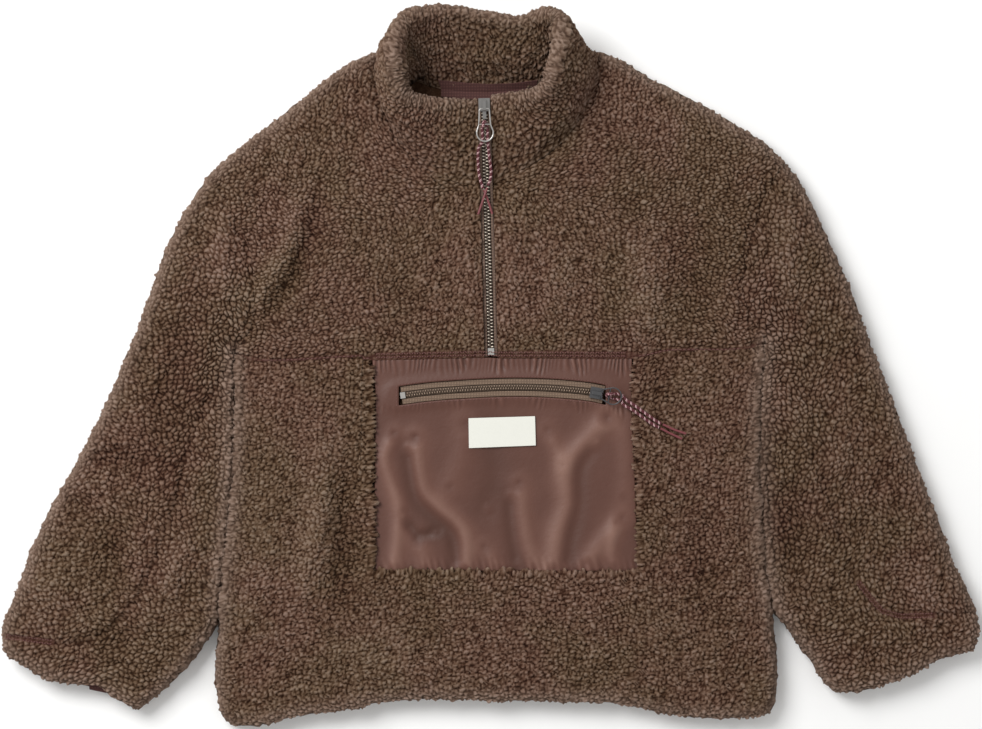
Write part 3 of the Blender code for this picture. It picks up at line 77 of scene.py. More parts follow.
# Cloth and how it lies
SEAM_GAP = 0.34
PILE_CLOTH = 8.0
BACK_TOP = 8.0
FRONT_TOP = 19.5
LEAST_LAYER_GAP = 0.6
MID_PLANE = 9.0
EDGE_ROUND = 7.0
EDGE_RIM = 0.8
HEM_ROUND = 6.0
HEM_DROP = 3.0
SEAM_DIP = 1.7
SEAM_DIP_WIDTH = 4.2
RIDGE_FADE = 9.0
UNDERARM_FADE = 90.0
UNDERARM_SPREAD = (0.6, 0.25)
GRAIN = 1.0
UNDER_GRAIN = 4
BACK_GRAIN = 3.0
EDGE_STEPS = (0.15, 0.5, 1.1, 2.0)

# Pile: how far a curl's foot and crown stand from the cloth's surface
CURL_FOOT = -1.7
CURL_CROWN = 1.0
CLUMP = 0.85
CLUMP_WAVE = 14.0
SWELL = 0.9
SWELL_WAVE = 52.0
SEAM_CLOSE = -0.45
BAND_PRESS = -0.5
# Width of the edge strip where the pile is lumpier and painted rim light makes it paler
EDGE_FUZZ_AND_RIM_LIGHT = 7.5
EDGE_LUMP = 0.9
EDGE_LUMP_WAVE = 9.5
FOLD_GAIN = 1.85
# How much fold relief takes the painted fold shade from darkest to palest
FOLD_SHADE_DEPTH = 5.5
# A curl's cell: how far in its centre keeps and how far it wanders, as shares of the cell
CURL_INSET = 0.11
CURL_WANDER = 0.78
CRACK_WIDTH = 0.44
CRACK_POWER = 0.75
MERGED = 0.3
MERGED_WAVE = 6.5
TINT_RISE = 0.3
# Curls of each layer: their size across and along, and the seed of their throws
CURLS = {
    "front_upper": ((3.7, 2.9), 3),
    "front_lower": ((3.6, 3.2), 11),
    "back": ((4.6, 4.2), 17),
    "sleeve_front": ((3.9, 3.5), 23),
    "sleeve_back": ((4.6, 4.4), 29),
    "collar": ((3.9, 3.5), 31),
}
# Where sleeve and body lie against each other, down to a height on the page
TOUCH_LOW = -196.0
TOUCH_FADE = 16.0
TOUCH_FILL = 2.4
TOUCH_WIDTH = 5.0
TOUCH_STEEP = 0.8

SIDE_LEFT = ((-190.9, -270.6), (-200.2, -264.5), (-204.0, -251.6), (-206.4, -236.6), (-205.6, -221.6),
             (-203.6, -195.4), (-199.1, -146.6), (-195.4, -116.6), (-191.6, -64.1), (-191.0, -26.6),
             (-191.8, -8.0), (-190.9, 7.9))
ARMHOLE_LEFT = ((-190.9, 7.9), (-187.6, 15.0), (-180.4, 25.9), (-176.6, 40.9), (-175.9, 55.9),
                (-177.4, 76.9), (-181.1, 89.6), (-187.9, 103.1), (-197.6, 121.1), (-211.9, 140.6))
SHOULDER_LEFT = ((-211.9, 140.6), (-198.4, 153.4), (-179.6, 168.4), (-160.1, 183.4), (-141.4, 198.4),
                 (-123.4, 213.4), (-102.4, 227.4), (-82.9, 235.1))
SHOULDER_RIGHT = ((81.4, 233.6), (98.9, 226.9), (121.1, 213.4), (151.1, 198.4), (176.6, 183.4),
                  (201.4, 168.4), (218.6, 153.4))
ARMHOLE_RIGHT = ((204.9, 15.2), (200.7, 26.4), (193.6, 38.2), (188.6, 50.4), (187.9, 67.1),
                 (192.4, 89.6), (199.9, 112.1), (209.6, 134.6), (218.6, 153.4))
SIDE_RIGHT = ((209.6, -261.0), (213.6, -251.6), (214.9, -229.1), (213.4, -206.6), (211.1, -191.6),
              (204.6, -146.6), (200.8, -86.6), (200.6, -41.6), (202.2, -11.6), (204.9, 15.2))
HEM = ((-190.9, -270.6), (-172.9, -269.8), (-142.9, -262.9), (-112.9, -259.1), (-82.9, -253.1),
       (-37.9, -250.1), (7.1, -251.6), (52.1, -251.6), (97.1, -253.9), (127.1, -260.6),
       (157.1, -264.4), (187.1, -264.4), (209.6, -261.0))
YOKE_SEAM = ((-190.9, 7.9), (-178.1, 3.4), (-154.9, 2.4), (-99.4, 5.4), (-88.9, 3.6), (-11.6, 5.2),
             (6.4, 4.9), (45.4, 4.9), (106.1, 4.9), (136.1, 10.0), (181.9, 10.6), (204.9, 15.2))
NECK_BACK = ((-82.9, 235.1), (-72.4, 222.4), (-58.9, 214.1), (-37.9, 208.1), (-4.1, 205.9),
             (29.6, 208.1), (52.1, 213.4), (70.9, 222.4), (81.4, 233.6))
NECK_FRONT_LEFT = ((-7.9, 133.9), (-30.4, 138.4), (-52.9, 151.9), (-70.9, 172.9), (-82.2, 198.4),
                   (-84.6, 219.4), (-82.9, 235.1))
NECK_FRONT_RIGHT = ((1.9, 135.4), (25.9, 147.4), (49.1, 163.9), (64.9, 181.9), (74.6, 198.4),
                    (79.6, 217.1), (81.4, 233.6))
SLEEVE_LEFT_OUTER = ((-211.9, 140.6), (-222.4, 124.4), (-232.1, 108.4), (-243.4, 85.9), (-250.9, 63.4),
                     (-257.6, 45.4), (-267.4, 18.4), (-286.9, -26.6), (-301.1, -56.6), (-317.6, -86.6),
                     (-334.1, -116.6), (-346.9, -146.6), (-357.4, -176.6), (-364.1, -191.6),
                     (-365.6, -206.6))
SLEEVE_LEFT_INNER = ((-191.2, 7.7), (-193.0, -4.0), (-192.6, -26.6), (-193.0, -64.1), (-196.8, -116.6),
                     (-200.5, -146.6), (-205.0, -193.1), (-213.6, -207.6), (-223.6, -221.6),
                     (-237.4, -236.6), (-254.6, -251.6), (-265.1, -258.4))
CUFF_LEFT = ((-365.6, -206.6), (-360.6, -217.6), (-350.9, -224.4), (-337.9, -232.4), (-322.9, -237.9),
             (-307.9, -239.9), (-292.9, -244.1), (-277.9, -251.6), (-265.1, -258.4))
SLEEVE_RIGHT_OUTER = ((218.6, 153.4), (230.6, 138.4), (238.9, 123.4), (253.1, 93.4), (266.6, 63.4),
                      (277.9, 33.4), (289.1, 3.4), (301.1, -26.6), (323.6, -86.6), (335.6, -116.6),
                      (346.1, -146.6), (355.9, -167.4), (363.4, -184.1), (365.6, -197.4))
SLEEVE_RIGHT_INNER = ((205.2, 15.0), (203.6, -11.6), (201.9, -41.6), (202.1, -86.6), (205.9, -146.6),
                      (212.2, -181.1), (219.2, -193.1), (229.4, -207.6), (240.0, -221.6),
                      (248.6, -235.6), (259.9, -245.6))
CUFF_RIGHT = ((365.6, -197.4), (361.6, -212.1), (352.1, -216.4), (337.1, -220.6), (322.1, -227.6),
              (307.1, -235.1), (292.1, -240.6), (277.1, -244.4), (259.9, -245.6))

# How wide the strip above the cross seam is that stitches flatten: x, width
YOKE_BAND = ((-150.0, 1.8), (-92.0, 2.4), (-84.0, 5.6), (102.0, 5.4), (112.0, 2.4), (150.0, 1.8))

# Folds: start x, start y, end x, end y, bow to its left, half width, height
FOLDS = (
    (-186.0, 34.0, -138.0, 128.0, -7.0, 9.0, 1.8),
    (-172.0, 30.0, -124.0, 134.0, -8.0, 8.0, -2.2),
    (108.0, 92.0, 119.0, 20.0, 4.0, 13.0, 2.0),
    (149.0, 104.0, 157.0, 24.0, 0.0, 14.0, -1.3),
    (-127.0, -48.0, -146.0, -188.0, 9.0, 11.0, 2.4),
    (-108.0, -70.0, -110.0, -196.0, 0.0, 11.0, -2.0),
    (122.0, 10.0, 132.0, -36.0, 0.0, 10.0, -1.3),
    (150.0, -96.0, 160.0, -196.0, 5.0, 14.0, -1.2),
    (-120.0, -200.0, -34.0, -232.0, -8.0, 16.0, 1.2),
    (-168.0, -96.0, -176.0, -214.0, -4.0, 13.0, 1.0),
    (-190.0, 132.0, -197.0, 44.0, -7.0, 8.0, 1.6),
    (-226.0, 44.0, -246.0, -96.0, 0.0, 18.0, -2.2),
    (-299.0, -68.0, -250.0, -82.0, 4.0, 8.0, -2.2),
    (-342.0, -140.0, -330.0, -196.0, 3.0, 13.0, 1.5),
    (-286.0, -112.0, -280.0, -166.0, 0.0, 12.0, -1.5),
    (-226.0, -128.0, -246.0, -180.0, 0.0, 8.0, 1.6),
    (-300.0, -214.0, -262.0, -200.0, 0.0, 8.0, -1.4),
    (221.0, 124.0, 222.0, 44.0, 3.0, 10.0, 1.6),
    (222.0, -84.0, 228.0, -160.0, 0.0, 15.0, -2.2),
    (216.0, -10.0, 237.0, -60.0, 3.0, 8.0, 1.6),
    (270.0, -40.0, 258.0, -92.0, -3.0, 9.0, 1.2),
    (280.0, 4.0, 252.0, 10.0, 2.0, 8.0, -1.4),
    (318.0, -150.0, 330.0, -200.0, 3.0, 12.0, 1.2),
)
# Smaller creases, in the same columns
CREASES = (
    (-225.4, -56.6, -244.1, -131.6, 2.0, 3.2, -1.3),
    (-193.0, 2.0, -225.4, -56.6, -2.0, 3.2, -1.0),
    (206.5, 10.0, 236.6, -56.6, 3.0, 3.0, -1.0),
    (236.6, -56.6, 267.4, -147.4, 3.0, 3.0, -1.2),
    (203.0, -30.0, 209.0, -140.0, 1.0, 6.0, -2.0),
    (-252.0, -180.0, -262.0, -214.0, 0.0, 5.0, 0.8),
    (-330.0, -96.0, -296.0, -118.0, 3.0, 6.0, -0.9),
    (302.0, -70.0, 286.0, -110.0, -2.0, 7.0, -0.9),
    (-160.0, 150.0, -140.0, 176.0, 2.0, 9.0, 0.8),
    (150.0, 150.0, 130.0, 190.0, -2.0, 9.0, 0.9),
    (-60.0, 70.0, -76.0, 20.0, 3.0, 14.0, -0.7),
    (60.0, 92.0, 52.0, 30.0, -4.0, 15.0, 0.8),
    (-18.0, 118.0, -12.0, 20.0, -2.0, 8.0, 0.8),
    (14.0, 118.0, 12.0, 20.0, 2.0, 8.0, 0.8),
)

# Creases along the cuffs' seams: half width, height, then the places each runs through
CUFF_CREASES = (
    (2.6, -1.9, (-366.0, -202.5), (-345.0, -205.2), (-327.4, -207.5), (-313.0, -208.5),
     (-298.0, -205.1), (-287.6, -199.1), (-275.6, -190.1), (-264.0, -174.4), (-244.1, -131.6)),
    (2.2, -1.3, (-324.0, -227.2), (-313.0, -223.9), (-300.0, -221.6)),
    (2.2, -1.3, (-289.0, -223.0), (-272.6, -224.0), (-262.0, -228.0)),
    (2.6, -1.9, (366.0, -183.5), (352.4, -186.6), (336.1, -187.1), (321.1, -186.6),
     (306.1, -187.9), (292.4, -184.1), (283.6, -174.1), (274.9, -162.9), (267.4, -147.4)),
)
# Where the left cuff's front edge stands back and shows the facing: place, way, how far, how wide
CUFF_NOTCH = ((-294.5, -242.0), (0.36, 0.93), 4.2, 8.5)

COLLAR_FOOT = 8.0
COLLAR_CENTRE = (-8.0, 196.0)
NEAR_FOOT = 9.0
FOOT_FLARE = 1.3
WALL_GROWTH = 0.45
RIM_FROM = 0.5
RIM_BLEND = 0.3
RIM_STEPS = 14
WALL_STEPS = 46
MID_WALL = 20
UPPER_WALL = 30
COLLAR_FOOT_FADE = 2.5
COLLAR_END_FADE = 1.5
# The paler rim, a painted rim light: how strong, how far past its top and how wide
COLLAR_RIM_LIGHT = (0.8, 8.0, 9.0)
# Where each line lies on the way round the neck, and which way it runs
NECK_TURNS = {"front_left": (0.0, 1), "back": (1.0, 1), "front_right": (3.0, -1)}
# Ribs: neck line, share along it, rim x, y, z, bow, inner foot's reach, thickness
COLLAR_RIBS = (
    ("front_left", 0.00, -9.6, 192.8, 28.6, 0.5, 2.0, 9.0),
    ("front_left", 0.20, -30.4, 191.4, 32.6, 2.0, 2.0, 12.0),
    ("front_left", 0.42, -50.4, 191.6, 37.0, 3.0, 3.0, 14.0),
    ("front_left", 0.64, -63.2, 197.6, 42.0, 2.5, 8.0, 16.0),
    ("front_left", 0.80, -69.2, 209.6, 47.0, 1.2, 20.0, 16.5),
    ("front_left", 0.92, -70.6, 223.6, 50.0, 0.8, 32.0, 16.5),
    ("front_left", 1.00, -70.0, 238.0, 50.0, 0.8, 40.0, 16.0),
    ("back", 0.10, -64.8, 250.8, 47.0, 1.5, 26.0, 15.0),
    ("back", 0.22, -50.0, 258.2, 41.0, 2.0, 10.0, 13.5),
    ("back", 0.36, -31.6, 259.8, 36.0, 1.0, 3.0, 12.5),
    ("back", 0.50, -4.1, 256.8, 32.0, 0.0, 2.0, 12.0),
    ("back", 0.64, 20.6, 253.4, 33.0, 0.0, 3.0, 12.0),
    ("back", 0.78, 40.6, 257.2, 40.0, 1.0, 9.0, 13.5),
    ("back", 0.90, 51.6, 252.4, 46.0, 2.0, 24.0, 15.0),
    ("front_right", 1.00, 52.4, 238.4, 48.0, 2.0, 38.0, 16.0),
    ("front_right", 0.92, 49.4, 223.6, 48.0, 2.0, 32.0, 16.5),
    ("front_right", 0.80, 46.2, 210.4, 46.0, 2.0, 22.0, 16.0),
    ("front_right", 0.62, 39.6, 200.6, 42.0, 2.5, 8.0, 15.0),
    ("front_right", 0.42, 29.6, 196.8, 37.0, 2.5, 3.0, 13.5),
    ("front_right", 0.20, 15.4, 196.6, 32.6, 2.0, 2.0, 12.0),
    ("front_right", 0.00, 0.2, 195.0, 29.0, 0.5, 2.0, 9.0),
)
PART_GAP = 0.35

POCKET_LEFT = ((-88.9, 3.6), (-88.6, -60.0), (-87.4, -154.1))
POCKET_RIGHT = ((106.1, 4.9), (108.4, -70.0), (111.4, -155.6))
POCKET_LOW_TOP = 13.6
POCKET_LOW_WALL = 3.2
SATIN = 0.9
SATIN_TOP = 17.4
SATIN_LEAST_TOP = 15.9
SATIN_MARGIN = 0.6
SATIN_GRAIN = 1.0
SATIN_ROWS_BELOW = 124
SATIN_ROWS_ABOVE = 16
LEAN = 2.9
SLOT_LIP = 1.3
SLOT_LIP_WIDTH = 5.0
POCKET_SLOT_HALF = 7.0
POCKET_ZIP = ((-69.5, -23.6), (-45.4, -20.4), (-15.4, -18.2), (14.6, -17.0), (44.6, -17.7),
              (73.1, -20.3), (87.5, -23.3))
POCKET_ZIP_HEIGHT = 17.1
# Folds of the satin: half width, height, then the places it runs through
SATIN_FOLDS = (
    (5.6, 2.0, (-56.3, -53.6), (-53.6, -76.9), (-49.1, -95.6), (-36.4, -108.4), (-22.1, -121.1),
     (-17.6, -135.4), (-19.1, -154.1)),
    (5.3, -1.3, (-62.3, -60.6), (-60.0, -80.0), (-55.5, -100.0), (-43.0, -114.0), (-29.0, -127.0),
     (-25.0, -152.0)),
    (4.7, 1.7, (-72.1, -51.0), (-79.2, -69.7), (-74.9, -86.9), (-69.2, -104.1), (-69.2, -127.1),
     (-72.1, -152.9)),
    (3.7, -1.4, (-64.9, -112.9), (-57.4, -124.1), (-50.6, -127.1), (-40.1, -124.9)),
    (7.4, 1.9, (87.4, -39.4), (74.6, -55.1), (59.6, -70.9), (55.9, -83.6), (57.4, -105.4),
     (49.9, -127.1), (46.9, -152.6)),
    (5.3, -1.2, (80.0, -58.0), (68.0, -76.0), (66.0, -104.0), (60.0, -130.0), (57.0, -152.0)),
    (6.2, 1.5, (98.6, -114.4), (87.4, -127.1), (71.6, -148.9)),
    (4.3, 1.2, (94.1, -118.1), (90.4, -138.4), (92.6, -152.6)),
    (5.6, 1.4, (21.4, -88.1), (24.4, -112.9), (28.1, -133.9), (34.1, -152.6)),
    (4.7, -1.0, (14.0, -96.0), (15.0, -120.0), (20.0, -150.0)),
    (4.7, 1.2, (-4.9, -136.0), (-0.4, -142.0), (5.6, -154.1)),
    (5.0, 1.1, (42.4, -48.4), (49.9, -64.1), (54.4, -75.4)),
    (6.2, 1.3, (-55.1, -130.0), (-50.0, -142.0), (-48.0, -154.0)),
    (9.3, -0.8, (0.0, -50.0), (4.0, -80.0), (-2.0, -108.0)),
    (7.8, 0.8, (-18.0, -44.0), (-22.0, -70.0), (-30.0, -92.0)),
    (6.2, 0.7, (99.0, -40.0), (102.0, -70.0), (100.0, -100.0)),
)
# Rows of small gathers: along which line, how far below it they begin and end, spacing, height
SATIN_PUCKERS = (("yoke", -0.5, 15.0, 3.8, 0.95), ("pocket_zip", 7.0, 19.0, 4.3, 0.42))
GATHER_FOOT = -155.0
GATHER_TOP = 13.0
GATHER_WAVE = 5.6
GATHER_HEIGHT = 0.45

CUFF_STITCHES = (((-361.5, -203.0), (-345.0, -205.2), (-327.4, -207.4)),
                 ((330.0, -187.0), (306.1, -187.9), (292.4, -184.1), (283.6, -174.1), (274.9, -162.9)))
CUFF_BAND = 2.3
# Rows above the cross seam: x from, x to, how far above it, pitch, zigzag's half width
YOKE_STITCHES = ((-86, 101, 1.7, 1.9, 0.55), (-86, 101, 4.1, 1.9, 0.55),
                 (-171, -90, 1.0, 3.0, 0.0), (110, 187, 1.0, 3.0, 0.0))

# Zips
SLOT_HALF = 4.9
# Teeth: from and to, as shares of the zip's length, then their pitch and width
NECK_TEETH = (0.035, 0.955, 2.47, 2.5)
POCKET_TEETH = (0.035, 0.93, 1.9, 1.8)
BED_HALF = 2.4
# A bed's corners: side, and how far below the path
BED_CORNERS = ((-1, -0.95), (1, -0.95), (1, -0.5), (-1, -0.5))
NECK_ZIP_LOW = (0.55, 5.4)
NECK_ZIP_HIGH = (-4.8, 197.0)
NECK_ZIP_HEIGHTS = ((5.4, 16.4), (60.0, 16.8), (118.0, 17.0), (134.0, 18.6), (150.0, 23.0),
                    (170.0, 27.8), (185.0, 31.0), (197.0, 32.4))

# Cords: route and tip of each, with the body that carries it
CORD = 2.3
CORDS = {
    "neck_cord_left": (
        (-5.82, 175.14, 36.25), (-6.1, 173.96, 35.56), (-5.92, 165.49, 32.51), (-8.4, 161.5, 29.2),
        (-9.2, 157.0, 27.7), (-9.2, 151.0, 26.0), (-8.8, 144.7, 24.3), (-8.0, 139.5, 22.9),
        (-6.6, 134.5, 22.1), (-5.4, 131.2, 21.9)),
    "neck_cord_right": (
        (-2.58, 175.16, 32.96), (-2.28, 173.8, 32.8), (-1.92, 165.6, 32.51), (-1.5, 160.0, 29.4),
        (-0.8, 153.5, 27.4), (0.2, 147.0, 25.3), (0.4, 142.0, 24.2), (-0.4, 137.0, 23.8),
        (-2.0, 133.2, 24.0)),
    "pocket_cord_upper": (
        (91.34, -21.93, 23.55), (92.62, -21.85, 23.0), (97.76, -22.76, 21.3), (101.4, -26.6, 21.5),
        (106.5, -29.9, 22.1), (112.2, -34.0, 22.0), (118.0, -38.2, 21.8), (123.0, -41.8, 21.7),
        (127.2, -44.2, 21.7)),
    "pocket_cord_lower": (
        (91.19, -25.2, 20.29), (92.49, -25.71, 20.29), (97.03, -26.69, 21.3), (99.4, -30.2, 21.3),
        (104.2, -32.8, 22.1), (109.8, -36.6, 22.0), (115.6, -40.8, 21.8), (120.8, -44.4, 21.7),
        (125.6, -47.0, 21.7)),
}
CORD_TIPS = {"neck_cord_left": "neck_tip_left", "neck_cord_right": "neck_tip_right",
             "pocket_cord_upper": "pocket_tip_upper", "pocket_cord_lower": "pocket_tip_lower"}


# Curves

def smooth(points, per_span=16):
    """A fine polyline through the points, each span a cubic whose end slopes are Catmull and Rom's."""
    p = np.array(points, float)
    p = np.vstack((2 * p[0] - p[1], p, 2 * p[-1] - p[-2]))
    t = np.linspace(0, 1, per_span, endpoint=False)[:, None]
    spans = []
    for a, b, c, d in zip(p[:-3], p[1:-2], p[2:-1], p[3:]):
        spans.append(0.5 * (2 * b + (c - a) * t + (2 * a - 5 * b + 4 * c - d) * t ** 2
                            + (3 * b - 3 * c + d - a) * t ** 3))
    return np.vstack(spans + [p[-2:-1]])


def arc_lengths(line):
    """The length along the polyline at each of its points."""
    return np.concatenate(([0], np.cumsum(np.linalg.norm(np.diff(line, axis=0), axis=1))))


def along(line, shares):
    """Points at the shares (0 to 1) of a polyline's length."""
    lengths = arc_lengths(line)
    wanted = np.asarray(shares, float) * lengths[-1]
    return np.stack([np.interp(wanted, lengths, line[:, k]) for k in range(line.shape[1])], axis=1)


def beside(line, offset):
    """The polyline moved sideways, to its left where offset is positive."""
    step = np.gradient(line[:, :2], axis=0)
    step /= np.linalg.norm(step, axis=1)[:, None]
    moved = line.copy()
    moved[:, :2] += offset * np.stack((-step[:, 1], step[:, 0]), axis=1)
    return moved


def distance(points, line):
    """The distance in plan from each point to the polyline, the least over its spans."""
    x, y = points[..., 0], points[..., 1]
    least = np.full(x.shape, 1e18)
    for (ax, ay), (bx, by) in zip(line[:-1, :2], line[1:, :2]):
        dx, dy = bx - ax, by - ay
        share = np.clip(((x - ax) * dx + (y - ay) * dy) / max(dx * dx + dy * dy, 1e-12), 0, 1)
        np.minimum(least, (x - ax - share * dx) ** 2 + (y - ay - share * dy) ** 2, out=least)
    return np.sqrt(least)


def fold_relief(points, folds):
    """The sum of bowed ridges: each a bell across its line, fading out at both ends."""
    total = np.zeros(points.shape[:-1])
    for x0, y0, x1, y1, bow, width, height in folds:
        start, end = np.array((x0, y0)), np.array((x1, y1))
        run = end - start
        side = np.array((-run[1], run[0])) / np.linalg.norm(run)
        line = smooth((start, (start + end) / 2 + side * bow, end), 4)
        share = np.clip(((points[..., :2] - start) @ run) / (run @ run), 0, 1)
        fade = np.sin(np.pi * np.clip(share, 0.02, 0.98)) ** 0.6
        total += height * fade * np.exp(-(distance(points, line) / width) ** 2)
    return total


LINES = {name: smooth(points, 8) for name, points in (
    ("side_left", SIDE_LEFT), ("side_right", SIDE_RIGHT),
    ("armhole_left", ARMHOLE_LEFT), ("armhole_right", ARMHOLE_RIGHT),
    ("shoulder_left", SHOULDER_LEFT), ("shoulder_right", SHOULDER_RIGHT),
    ("hem", HEM), ("yoke", YOKE_SEAM), ("back", NECK_BACK),
    ("front_left", NECK_FRONT_LEFT), ("front_right", NECK_FRONT_RIGHT),
    ("sleeve_left_outer", SLEEVE_LEFT_OUTER), ("sleeve_left_inner", SLEEVE_LEFT_INNER),
    ("sleeve_right_outer", SLEEVE_RIGHT_OUTER), ("sleeve_right_inner", SLEEVE_RIGHT_INNER),
    ("cuff_left", CUFF_LEFT), ("cuff_right", CUFF_RIGHT),
    ("pocket_left", POCKET_LEFT), ("pocket_right", POCKET_RIGHT), ("pocket_zip", POCKET_ZIP),
)}
BODY_EDGES = ("side_left", "side_right", "shoulder_left", "shoulder_right")
TOUCHING = ("side_left", "side_right", "sleeve_left_inner", "sleeve_right_inner")
SEAMS = ("armhole_left", "armhole_right", "yoke", "front_left", "front_right")


# Heights of the cloth

def nearest(points, names):
    return np.minimum.reduce([distance(points, LINES[name]) for name in names])


def rounding(away, radius):
    """0 at an edge and 1 a radius away, as a quarter of an ellipse rises."""
    return np.sqrt(np.clip(1 - (1 - np.clip(away / radius, 0, 1)) ** 2, 0, 1))


def ridge_relief(points, ridges, spread=1.0):
    """The sum of winding ridges: each a bell across its line, fading out at both ends."""
    total = np.zeros(points.shape[:-1])
    for width, height, *places in ridges:
        line = smooth(places, 4)
        from_start = np.linalg.norm(points[..., :2] - line[0], axis=-1)
        from_end = np.linalg.norm(points[..., :2] - line[-1], axis=-1)
        fade = (np.clip(from_start / RIDGE_FADE, 0, 1)
                * np.clip(0.35 + from_end / RIDGE_FADE, 0, 1))
        total += height * fade * np.exp(-(distance(points, line) / (width * spread)) ** 2)
    return total


def cloth_top(points):
    """The front cloth's top before its outer edges are rounded: folds, creases, a dip at each seam."""
    dips = SEAM_DIP * np.exp(-(nearest(points, SEAMS) / SEAM_DIP_WIDTH) ** 2)
    folds = FOLD_GAIN * fold_relief(points, FOLDS + CREASES) + ridge_relief(points, CUFF_CREASES)
    return FRONT_TOP + folds - dips


def touching(points):
    """1 where sleeve and body lie against each other, 0 below that."""
    return np.clip((points[..., 1] - TOUCH_LOW) / TOUCH_FADE, 0, 1)


def edge_distance(points, edges):
    """How far a point is from the edges; those that touch another piece round over more tightly."""
    least = np.full(points.shape[:-1], 1e9)
    for name in edges:
        tight = TOUCH_STEEP * touching(points) if name in TOUCHING else 0
        least = np.minimum(least, distance(points, LINES[name]) * (1 + tight))
    return least


def front_heights(points, edges, ends):
    """Top and under heights of a front layer, and how far its edges have dropped below the full top."""
    whole = cloth_top(points)
    full = whole - HEM_DROP * (1 - rounding(nearest(points, ends), HEM_ROUND))
    rise = rounding(edge_distance(points, edges), EDGE_ROUND)
    low = MID_PLANE + SEAM_GAP / 2
    top = low + EDGE_RIM + (full - low - EDGE_RIM) * rise
    under = low + (np.maximum(whole - PILE_CLOTH, BACK_TOP + LEAST_LAYER_GAP) - low) * rise
    return top, np.minimum(under, top - EDGE_RIM), whole - top


def back_heights(points, edges, ends):
    """Top and under heights of a back layer, and how far its edges have risen off the floor."""
    rise = rounding(nearest(points, edges), EDGE_ROUND)
    high = MID_PLANE - SEAM_GAP / 2
    lift = (HEM_DROP - 0.5) * (1 - rounding(nearest(points, ends), HEM_ROUND))
    top = high + (BACK_TOP - high) * rise
    under = np.minimum(np.maximum((high - EDGE_RIM) * (1 - rise), lift), top - EDGE_RIM)
    return top, under, under


# Grids in plan

def graded(length, step, start=False, end=False):
    """Shares of a length a step apart, and closer together at an end that rounds over."""
    near = np.array(EDGE_STEPS) / length
    low, high = (near[-1] if start else 0.0), (1 - near[-1] if end else 1.0)
    count = UNDER_GRAIN * max(1, math.ceil((high - low) * length / step / UNDER_GRAIN))
    parts = [np.linspace(low, high, count + 1)]
    if start:
        parts.insert(0, np.concatenate(([0.0], near[:-1])))
    if end:
        parts.append(np.concatenate((1 - near[:-1][::-1], [1.0])))
    return np.concatenate(parts)


def length_of(line):
    return arc_lengths(line)[-1]


def coons(bottom, top, left, right):
    """A grid that fills the four edges: straight blends across and up, less the corners' blend."""
    u = (arc_lengths(bottom) / length_of(bottom) + arc_lengths(top) / length_of(top)) / 2
    v = (arc_lengths(left) / length_of(left) + arc_lengths(right) / length_of(right)) / 2
    u, v = u[None, :, None], v[:, None, None]
    flat = (1 - v) * bottom[None] + v * top[None] + (1 - u) * left[:, None] + u * right[:, None]
    corners = ((1 - v) * ((1 - u) * bottom[0] + u * bottom[-1])
               + v * ((1 - u) * top[0] + u * top[-1]))
    return flat - corners


# Curls of the pile

def dice(cells, seed):
    """A fair number from 0 to 1 for each cell, always the same for the same cell and seed."""
    h = cells[..., 0] * 374761393 + cells[..., 1] * 668265263 + seed * 362437
    h = (h ^ (h >> 13)) * 1274126177 & 0xFFFFFFFF
    h = (h ^ (h >> 16)) * 2246822519 & 0xFFFFFFFF
    return ((h ^ (h >> 15)) & 0xFFFFFFFF) / 4294967296.0


def swell(places, wave, seed):
    """Soft unevenness from -1 to 1: a product and sum of slow waves, bent by each other."""
    x, y = places[..., 0] / wave, places[..., 1] / wave
    one = np.sin(6.28 * x + 2.1 * np.sin(3.1 * y + seed) + seed)
    two = np.sin(6.28 * y + 1.8 * np.sin(2.7 * x + 2 * seed) + 3 * seed)
    three = np.sin(4.4 * (x + y) + 1.5 * np.sin(5.3 * (x - y) + seed))
    return (one * two + 0.6 * three) / 1.6


def curls(places, size, seed):
    """Rounded curls, one in each jittered cell: their rise from 0 in the cracks to 1, and a tint.

    A curl is a dome about its cell's centre, which ends where the next curl's centre is as near.
    The places are first bent by three waves, so that no row runs straight, and by a fine shake, so
    that no curl is quite round. In places neighbours are half merged, and the crack is shallow.
    """
    x, y = places[..., 0], places[..., 1]
    bent = np.stack((x + 2.2 * np.sin(y / 11 + seed) + 1.1 * np.sin(y / 4.7 + x / 13)
                     + 0.45 * np.sin(y / 1.1 + x / 2.3),
                     y + 2.0 * np.sin(x / 13 + 2 * seed) + 1.0 * np.sin(x / 5.3 - y / 17)
                     + 0.45 * np.sin(x / 1.2 - y / 2.1)), axis=-1)
    q = bent / np.array(size)
    base = np.floor(q).astype(np.int64)
    first = np.full(q.shape[:-1], 9.0)
    second = np.full(q.shape[:-1], 9.0)
    tint = np.zeros(q.shape[:-1])
    for dx in (-1, 0, 1):
        for dy in (-1, 0, 1):
            cell = base + (dx, dy)
            throw = np.stack((dice(cell, seed), dice(cell, seed + 7)), axis=-1)
            centre = cell + CURL_INSET + CURL_WANDER * throw
            away = np.linalg.norm(q - centre, axis=-1) * (0.82 + 0.36 * dice(cell, seed + 29))
            nearer = away < first
            second = np.where(nearer, first, np.minimum(second, away))
            tint = np.where(nearer, dice(cell, seed + 13), tint)
            first = np.where(nearer, away, first)
    crack = np.clip((second - first) / CRACK_WIDTH, 0, 1) ** CRACK_POWER
    merged = 0.5 - 0.5 * swell(places, MERGED_WAVE, seed + 5)
    crack = 1 - (1 - crack) * (1 - MERGED * np.clip(merged, 0, 1))
    crown = 1 - np.clip(first, 0, 1) ** 2
    grains = np.floor(places * 1.3).astype(np.int64)
    rise = crack * (0.6 + 0.4 * crown) + 0.2 * (dice(grains, seed + 41) - 0.5)
    return np.clip(rise, 0, 1), tint


def unit(vectors):
    return vectors / np.maximum(np.linalg.norm(vectors, axis=-1, keepdims=True), 1e-12)


def facing_of(surface):
    """Unit normals of a grid of points, from its two directions."""
    return unit(np.cross(np.gradient(surface, axis=1), np.gradient(surface, axis=0)))


